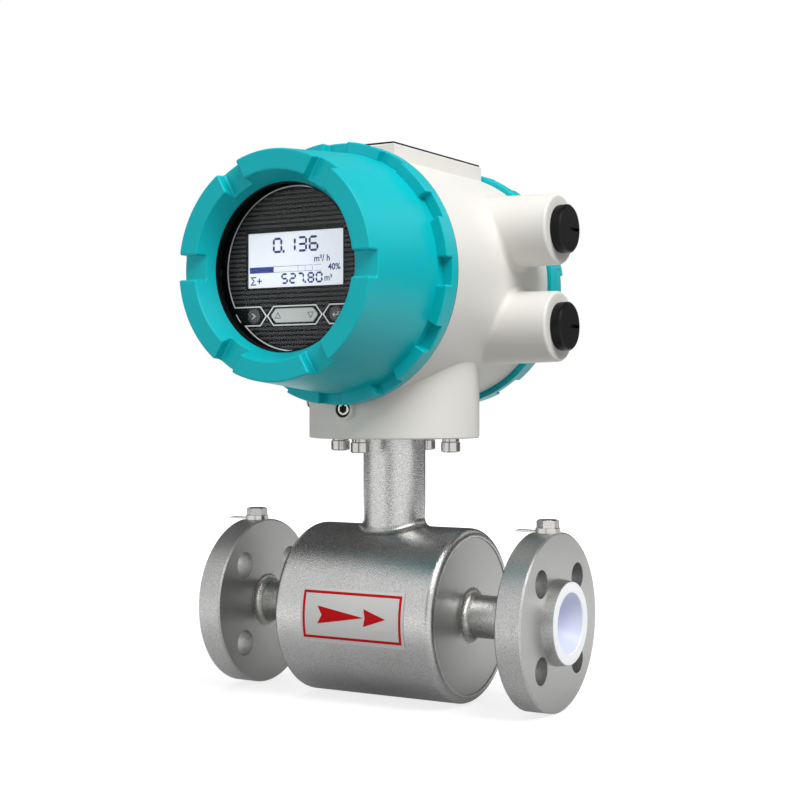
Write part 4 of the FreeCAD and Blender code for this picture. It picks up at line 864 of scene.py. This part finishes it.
def crowned(outline):
    """A cap over a closed (x, z) outline about the middle.

    Ring number i shrinks towards the middle by the share s = i / rounds, and stands
    proud by rise * (1 - (1 - s)^2) ** 0.45: steep at the edge, flat on top.  A wall goes
    straight back from the edge.
    """
    share = np.linspace(0, 1, DOME_ROUNDS)
    plane = outline[None] * (1 - share[:, None, None] * 0.98)
    proud = DOME_RISE * (1 - (1 - share) ** 2) ** 0.45
    depth = np.broadcast_to(proud[:, None], plane.shape[:2])
    rings = np.stack([plane[..., 0], KEY_FRONT - depth, plane[..., 1]], axis=-1)
    rings = np.concatenate([rings[:1] + [0, DOME_WALL, 0], rings])
    count = len(outline)
    faces = grid_faces(len(rings), count, closed=True)[:, ::-1].tolist()
    faces.append([(len(rings) - 1) * count + number for number in range(count)][::-1])
    faces.append(list(range(count)))
    return rings.reshape(-1, 3), faces


turn = np.linspace(0, 2 * math.pi, 64, endpoint=False)
disc = np.column_stack([np.cos(turn), -np.sin(turn)]) * DOME_RADIUS
for name, side in (("select", -KEY_SIDE), ("enter", KEY_SIDE)):
    points, faces = crowned(disc)
    points = points + [side, 0, KEY_LINE + HEAD_Z]
    new_piece(name + "_cap", points, faces, name + "_key", "panel_black", "cap_black", smooth=True)

# %% [markdown]
# The rocker's pale middle is a stadium: all points within a radius of a short level
# line.  How far a point is from that line decides between pale and dark.

# %% Two-tone rocker
STADIUM_HALF = 13.3
STADIUM_WIDE = 6.7
EDGE_INSIDE, EDGE_OUTSIDE = 0.00012, 0.00004
radius = STADIUM_WIDE / 2 * MM
rocker_two_tone, tree, shader = new_finish("rocker_two_tone", Specular_IOR_Level=0.3)
split = put(tree, "SeparateXYZ", Vector=own_place(tree)).outputs
past_end = maths(tree, "SUBTRACT", maths(tree, "ABSOLUTE", split["X"]), STADIUM_HALF * MM - radius)
beyond = maths(tree, "MAXIMUM", past_end, 0.0)
height = maths(tree, "SUBTRACT", split["Z"], (KEY_LINE + HEAD_Z) * MM)
squares = maths(tree, "ADD", maths(tree, "POWER", beyond, 2.0), maths(tree, "POWER", height, 2.0))
away = maths(tree, "SQRT", squares)
outside = spread(tree, away, radius - EDGE_INSIDE, radius + EDGE_OUTSIDE)
two_tone = blend_colours(tree, outside, linear(208, 207, 204), linear(14, 14, 15))
skin = dress(
    tree, shader, paint_skin,
    Colour=two_tone, Peel_per_metre=1500.0, Roughness=0.4, Drift=0.03,
)
emboss(tree, shader, skin["Height"], 0.04)
nodes["rocker_key"].data.materials[0] = rocker_two_tone
print("rocker: a stadium", 2 * STADIUM_HALF, "mm long")

# %% Key symbols
MARK = 0.05
MARK_PROUD = 0.03
ROCKER_LINE = 0.32
SIGN_SIDE = 9.5
SIGN_SCALE = 0.95
mark_front = KEY_FRONT - DOME_RISE - MARK
rocker_front = KEY_FRONT - MARK_PROUD
chevron = np.array([(-0.9, 1.3), (1.1, 0.0), (-0.9, -1.3)]) + [-KEY_SIDE, KEY_LINE]
select_parts = [band(chevron, 0.42, mark_front, MARK)]
hook = np.array([(1.5, 1.1), (1.5, -0.4), (-1.0, -0.4)]) + [KEY_SIDE, KEY_LINE]
tip = np.array([(-0.5, 0.7), (-1.7, -0.4), (-0.5, -1.5)]) + [KEY_SIDE, KEY_LINE]
enter_parts = [band(hook, 0.4, mark_front, MARK), slab(tip, mark_front, MARK)]
triangle = np.array([(-1.7, -1.25), (1.7, -1.25), (0.0, 1.6)]) * SIGN_SCALE
rocker_parts = []
for side, upright in ((-SIGN_SIDE, 1), (SIGN_SIDE, -1)):
    sign = triangle * [1, upright] + [side, KEY_LINE]
    rocker_parts.append(band(sign, ROCKER_LINE, rocker_front, MARK, closed=True))
on_display("select_mark", select_parts, "select_key", "panel_black", "symbol_white")
on_display("enter_mark", enter_parts, "enter_key", "panel_black", "symbol_white")
on_display("rocker_marks", rocker_parts, "rocker_key", "key_grey", "symbol_dark")

# %% [markdown]
# ## Thin dark rings
#
# A dark ring between the front cover and the housing is a painted shadow in the gap
# there, and a black sleeve lines the window's edge.  A black ring round the lock
# screw's head is a painted shadow in its counterbore, and a dark disc at the bottom of
# its hexagon socket is painted shade.  Each is a small profile carried round a circle.

# %% Rings and socket
LOCK_SCREW = (-2.0, 106.5)


def turned(profile, centre, count=128):
    """A closed (radius, y) profile carried round the Y direction through centre (x, z)."""
    angle = np.linspace(0, 2 * math.pi, count, endpoint=False)[:, None]
    radius, level = np.asarray(profile, float).T
    x = centre[0] + radius * np.cos(angle)
    z = centre[1] + radius * np.sin(angle)
    cloud = np.stack([x, np.broadcast_to(level, x.shape), z], axis=-1)
    cloud = np.concatenate([cloud, cloud[:1]])
    return cloud.reshape(-1, 3), grid_faces(count + 1, len(profile), closed=True).tolist()


# Painted shadow: a dark ring in the gap behind the front cover's rim.
cover_gap_shadow_section = [(55.5, -48.62), (64.7, -48.62), (64.7, -48.04), (55.5, -48.04)]
points, faces = turned(cover_gap_shadow_section, (0.0, HEAD_Z), 256)
new_piece("cover_gap_painted_shadow", points, faces, "meter", "seal_rubber")
cover_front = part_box("front_cover")[0].y / MM
sleeve = np.array([(39.85, 14.2), (39.85, 10.9), (40.75, 10.9), (40.2, 14.2)])
points, faces = turned(sleeve + [0, cover_front], (0.0, HEAD_Z), 192)
new_piece("window_sleeve", points, faces, "front_cover", "black_anodised")
# Painted shadow: a dark ring in the counterbore round the screw's head.
around = np.linspace(0, 2 * math.pi, 16, endpoint=False)
screw_shadow_section = np.column_stack([3.9 + 0.38 * np.cos(around), -46.9 + 0.6 * np.sin(around)])
points, faces = turned(screw_shadow_section, LOCK_SCREW)
new_piece("lock_screw_painted_shadow", points, faces, "meter", "seal_rubber", smooth=True)
# Painted shade: a dark disc at the bottom of the screw's hexagon socket.
socket_painted_shade = [(0.02, -46.5), (1.97, -46.5), (1.97, -45.85), (0.02, -45.85)]
points, faces = turned(socket_painted_shade, LOCK_SCREW, 48)
new_piece("lock_screw_socket_shade", points, faces, "meter", "black_anodised")

# %% [markdown]
# ## The flow arrow
#
# The label shows which way the water runs: a red frame and an arrow in two darts.  On
# paper a dart is a triangle with a notched back.  Its surface runs over two numbers,
# how far from the middle line and how far from back to tip, and is then rolled round
# the drum: the height on paper becomes an angle.

# %% Label print
DRUM_RADIUS = 45.0
FILM_THICK = 0.12
FILM_CLEAR = 0.2
FILM_TOP = DRUM_RADIUS + FILM_THICK + FILM_CLEAR
PRINT_THICK = 0.03
LABEL_RISE = 1.5


def rolled(u, v, lift_off):
    """Paper point (u along the pipe, v up) to the drum: the angle from -Y is v / radius."""
    radius = FILM_TOP + lift_off
    angle = (v + LABEL_RISE) / FILM_TOP
    return np.stack([u, -radius * np.cos(angle), radius * np.sin(angle)], axis=-1)


def rolled_patch(left, right, v, columns):
    """A closed sheet between two edges, each one number or one number for each v."""
    left, right = (np.broadcast_to(edge, v.shape)[:, None] for edge in (left, right))
    u = left + (right - left) * np.linspace(0, 1, columns)
    tall = np.broadcast_to(v[:, None], u.shape)
    rows, count = len(v), len(v) * columns
    top, foot = rolled(u, tall, PRINT_THICK), rolled(u, tall, 0.0)
    skin = grid_faces(rows, columns)
    number = np.arange(count).reshape(rows, columns)
    rim = np.concatenate([
        number[0], number[1:, -1], number[-1, -2::-1], number[-2:0:-1, 0],
    ])
    after = np.roll(rim, -1)
    walls = np.stack([rim, rim + count, after + count, after], axis=-1)
    faces = np.concatenate([skin, skin[:, ::-1] + count, walls])
    return np.concatenate([top.reshape(-1, 3), foot.reshape(-1, 3)]), faces.tolist()


def dart(back, notch, tip, half):
    """Notched triangle: with a = |v| / half, from notch-(notch-back)*a to tip-(tip-back)*a."""
    v = np.linspace(-half, half, 25)
    away = np.abs(v) / half
    return rolled_patch(notch - (notch - back) * away, tip - (tip - back) * away * 0.999, v, 12)


FRAME_LEFT, FRAME_RIGHT = -28.0, 30.5
FRAME_HALF = 12.3
FRAME_LINE = 1.4
inner_left, inner_right = FRAME_LEFT + FRAME_LINE, FRAME_RIGHT - FRAME_LINE
tall = np.linspace(-FRAME_HALF, FRAME_HALF, 33)
upper = np.linspace(FRAME_HALF - FRAME_LINE, FRAME_HALF, 4)
points, faces = gather([
    rolled_patch(FRAME_LEFT, inner_left, tall, 3),
    rolled_patch(inner_right, FRAME_RIGHT, tall, 3),
    rolled_patch(inner_left, inner_right, upper, 40),
    rolled_patch(inner_left, inner_right, -upper[::-1], 40),
    dart(back=-19.0, notch=-16.3, tip=8.9, half=4.6),
    dart(back=8.6, notch=9.5, tip=21.8, half=4.5),
])
new_piece("flow_print", points, faces, "meter", "label_film", "label_red")

# %% [markdown]
# ## Ground bolts
#
# The CAD bolt heads are plain prisms.  A real head is turned before its flats show:
# the top corners are cut by a cone.  Its surface is the smaller of two radii at each
# height, the hexagon's and the cone's.

# %% Chamfered hexagon heads
HEX_FLATS = 10.0
HEAD_HEIGHT = 4.2
STUD_RADIUS = 3.0
STUD_FOOT = 16.6
BOLT_X = 89.5
head_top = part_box("ground_bolts")[1].z / MM
LATHE = np.array([  # drop below the top, radius
    (0.0, 0.0), (0.0, 4.75), (0.15, 5.0), (0.3, 5.26), (0.45, 5.52), (0.6, 9.0),
    (HEAD_HEIGHT, 9.0), (HEAD_HEIGHT, STUD_RADIUS), (STUD_FOOT, STUD_RADIUS), (STUD_FOOT, 0.0),
])


def hex_head(middle_x, sides=144):
    """Radius = min(flats / 2 / cos(angle to the nearest flat), the lathe's at that drop)."""
    angle = np.linspace(0, 2 * math.pi, sides, endpoint=False)
    from_flat = (angle + math.pi / 6) % (math.pi / 3) - math.pi / 6
    drop, cone = LATHE.T
    radius = np.minimum(HEX_FLATS / 2 / np.cos(from_flat)[None, :], cone[:, None])
    cloud = np.stack([
        middle_x + radius * np.cos(angle),
        radius * np.sin(angle),
        np.broadcast_to((head_top - drop)[:, None], radius.shape),
    ], axis=-1)
    return cloud.reshape(-1, 3), grid_faces(len(drop), sides, closed=True)[:, ::-1].tolist()


points, faces = gather([hex_head(-BOLT_X), hex_head(BOLT_X)])
bolts = new_piece("ground_bolt_heads", points, faces, "meter", "bright_steel")
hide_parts("ground_bolts")

# %% [markdown]
# ## A plain pale studio
# The background of a catalogue picture is white paper.  The floor is nearly white and
# keeps a soft shadow, and the world behind is white where the camera, a mirror or
# glass looks at it.  The floor gives off a little more light further out, so that it
# meets the white world without a line.  Close by, the paper's glow as metal mirrors it
# is turned down, a painted shade under the object, which keeps the metal's underside
# dark.

# %% Floor
FLOOR_HALF = 6.0
FLOOR_DROP = 0.0005
PAPER = (0.36, 0.36, 0.36, 1.0)
GLOW_REACH, GLOW = (0.25, 1.1), (0.8, 1.0)
MIRROR_REACH, MIRROR_GLOW = (0.04, 0.34), (0.1, 1.0)


def seen_directly(tree):
    """One where the camera, a reflection or glass looks, zero for light that bounced off paint."""
    rays = put(tree, "LightPath").outputs
    seen = maths(tree, "MAXIMUM", rays["Is Camera Ray"], rays["Is Glossy Ray"])
    seen = maths(tree, "MAXIMUM", seen, rays["Is Transmission Ray"])
    fresh = maths(tree, "LESS_THAN", rays["Diffuse Depth"], 0.5)
    return maths(tree, "MULTIPLY", seen, fresh)


paper, tree, shader = new_finish(
    "paper", Base_Color=PAPER, Roughness=0.9, Specular_IOR_Level=0.0,
)
from_middle = length_of(tree, own_place(tree))
rays = put(tree, "LightPath").outputs
clear_view = maths(tree, "MAXIMUM", rays["Is Camera Ray"], rays["Is Transmission Ray"])
to_eye = spread(tree, from_middle, *GLOW_REACH, *GLOW)
paleness = maths(tree, "MULTIPLY", clear_view, to_eye)
# Painted shade: close to the object the paper glows less where metal mirrors it.
painted_shade_in_metal = spread(tree, from_middle, *MIRROR_REACH, *MIRROR_GLOW)
mirrored = maths(tree, "MULTIPLY", rays["Is Glossy Ray"], painted_shade_in_metal)
strength = maths(tree, "MAXIMUM", paleness, mirrored)
strength = maths(tree, "MULTIPLY", seen_directly(tree), strength)
glow = put(tree, "Emission", Color=WHITE, Strength=strength)
lit = put(tree, "AddShader")
feed(tree, lit.inputs[0], shader.outputs[0])
feed(tree, lit.inputs[1], glow.outputs[0])
feed(tree, tree.nodes["Material Output"].inputs["Surface"], lit.outputs[0])

floor_mesh = bpy.data.meshes.new("floor")
corners = np.array([(-1, -1), (1, -1), (1, 1), (-1, 1)]) * FLOOR_HALF
floor_level = cad_low.z - FLOOR_DROP
floor_mesh.from_pydata([(x, y, floor_level) for x, y in corners], [], [(0, 1, 2, 3)])
floor_mesh.materials.append(paper)
floor = bpy.data.objects.new("floor", floor_mesh)
bpy.context.scene.collection.objects.link(floor)
print("floor at z =", round(floor_level, 4))

# %% World
AMBIENT = 0.34
world = bpy.data.worlds.new("studio")
bpy.context.scene.world = world
world.use_nodes = True
tree = world.node_tree
background = tree.nodes["Background"].inputs
background["Color"].default_value = WHITE
feed(tree, background["Strength"], spread(tree, seen_directly(tree), 0.0, 1.0, AMBIENT, 1.0))
print("world: white to look at,", AMBIENT, "as light")

# %% [markdown]
# Light comes from soft boxes: the main one on the right and above, which leaves the
# display's own side in a light shade, and weak ones above, low in front and behind.
# The weak ones only fill, so the metal doesn't mirror them.  The main one is two lamps
# in one place, of which the metal mirrors one: that keeps its highlights soft.

# %% Lamps
AIM = Vector((0.0, -0.02, 0.11))


def light_box(name, place, size, power, mirrored=False):
    """A square soft box that faces the object, its size in metres and its power in watts."""
    lamp = bpy.data.lights.new(name, "AREA")
    lamp.shape = "RECTANGLE"
    lamp.size, lamp.size_y, lamp.energy = size, size, power
    box = bpy.data.objects.new(name, lamp)
    box.location = place
    box.rotation_mode = "QUATERNION"
    box.rotation_quaternion = (AIM - Vector(place)).to_track_quat("-Z", "Y")
    box.visible_glossy = mirrored
    bpy.context.scene.collection.objects.link(box)


light_box("main_box", (0.78, -0.42, 1.08), 0.7, 9, mirrored=True)
light_box("main_fill", (0.78, -0.42, 1.09), 0.7, 5.5)
light_box("top_box", (-0.3, 0.1, 1.5), 1.0, 4)
light_box("left_box", (-0.5, -1.3, 0.1), 0.8, 3.6)
light_box("back_box", (-0.6, 1.25, 0.5), 0.9, 6)
print("lamps:", len(bpy.data.lights))

# %% [markdown]
# Polished metal in an all-white room looks like grey plastic.  Photographers hang
# black cards, called flags, outside the picture, so that the metal mirrors dark edges.
# Here each flag is a plain card that only reflections see: one overhead, and upright
# ones behind, on the left, in front beside the camera, and two at the back on the right.

# %% Flags
CARD_GLOW = 0.08
black_card, _, _ = new_finish(
    "black_card", Base_Color=(0.02, 0.02, 0.02, 1.0), Specular_IOR_Level=0.0,
    Emission_Color=WHITE, Emission_Strength=CARD_GLOW,
)


def flag(name, corners):
    """A black card through four corners in metres."""
    mesh = bpy.data.meshes.new(name)
    mesh.from_pydata(corners, [], [(0, 1, 2, 3)])
    mesh.materials.append(black_card)
    card = bpy.data.objects.new(name, mesh)
    bpy.context.scene.collection.objects.link(card)
    card.visible_camera = False
    card.visible_diffuse = False
    card.visible_transmission = False
    card.visible_shadow = False


def wall(name, first, last, top, foot=-0.04):
    """An upright flag between two places (x, y) on the floor."""
    flag(name, [(*first, foot), (*last, foot), (*last, top), (*first, top)])


flag("ceiling_flag", [(-2.2, -0.7, 1.9), (1.9, -0.7, 1.9), (1.9, 2.2, 1.9), (-2.2, 2.2, 1.9)])
wall("back_flag", (-1.6, 1.15), (0.2, 1.25), 1.1)
wall("left_flag", (-1.3, -0.55), (-1.6, 1.1), 1.0)
wall("front_flag", (0.05, -1.33), (0.5, -1.22), 0.9)
wall("right_flag", (1.3, 0.2), (0.85, 0.95), 0.9)
wall("far_right_flag", (0.85, 0.95), (0.3, 1.25), 0.45)
bpy.context.scene.view_settings.view_transform = "Standard"
print("flags ready")
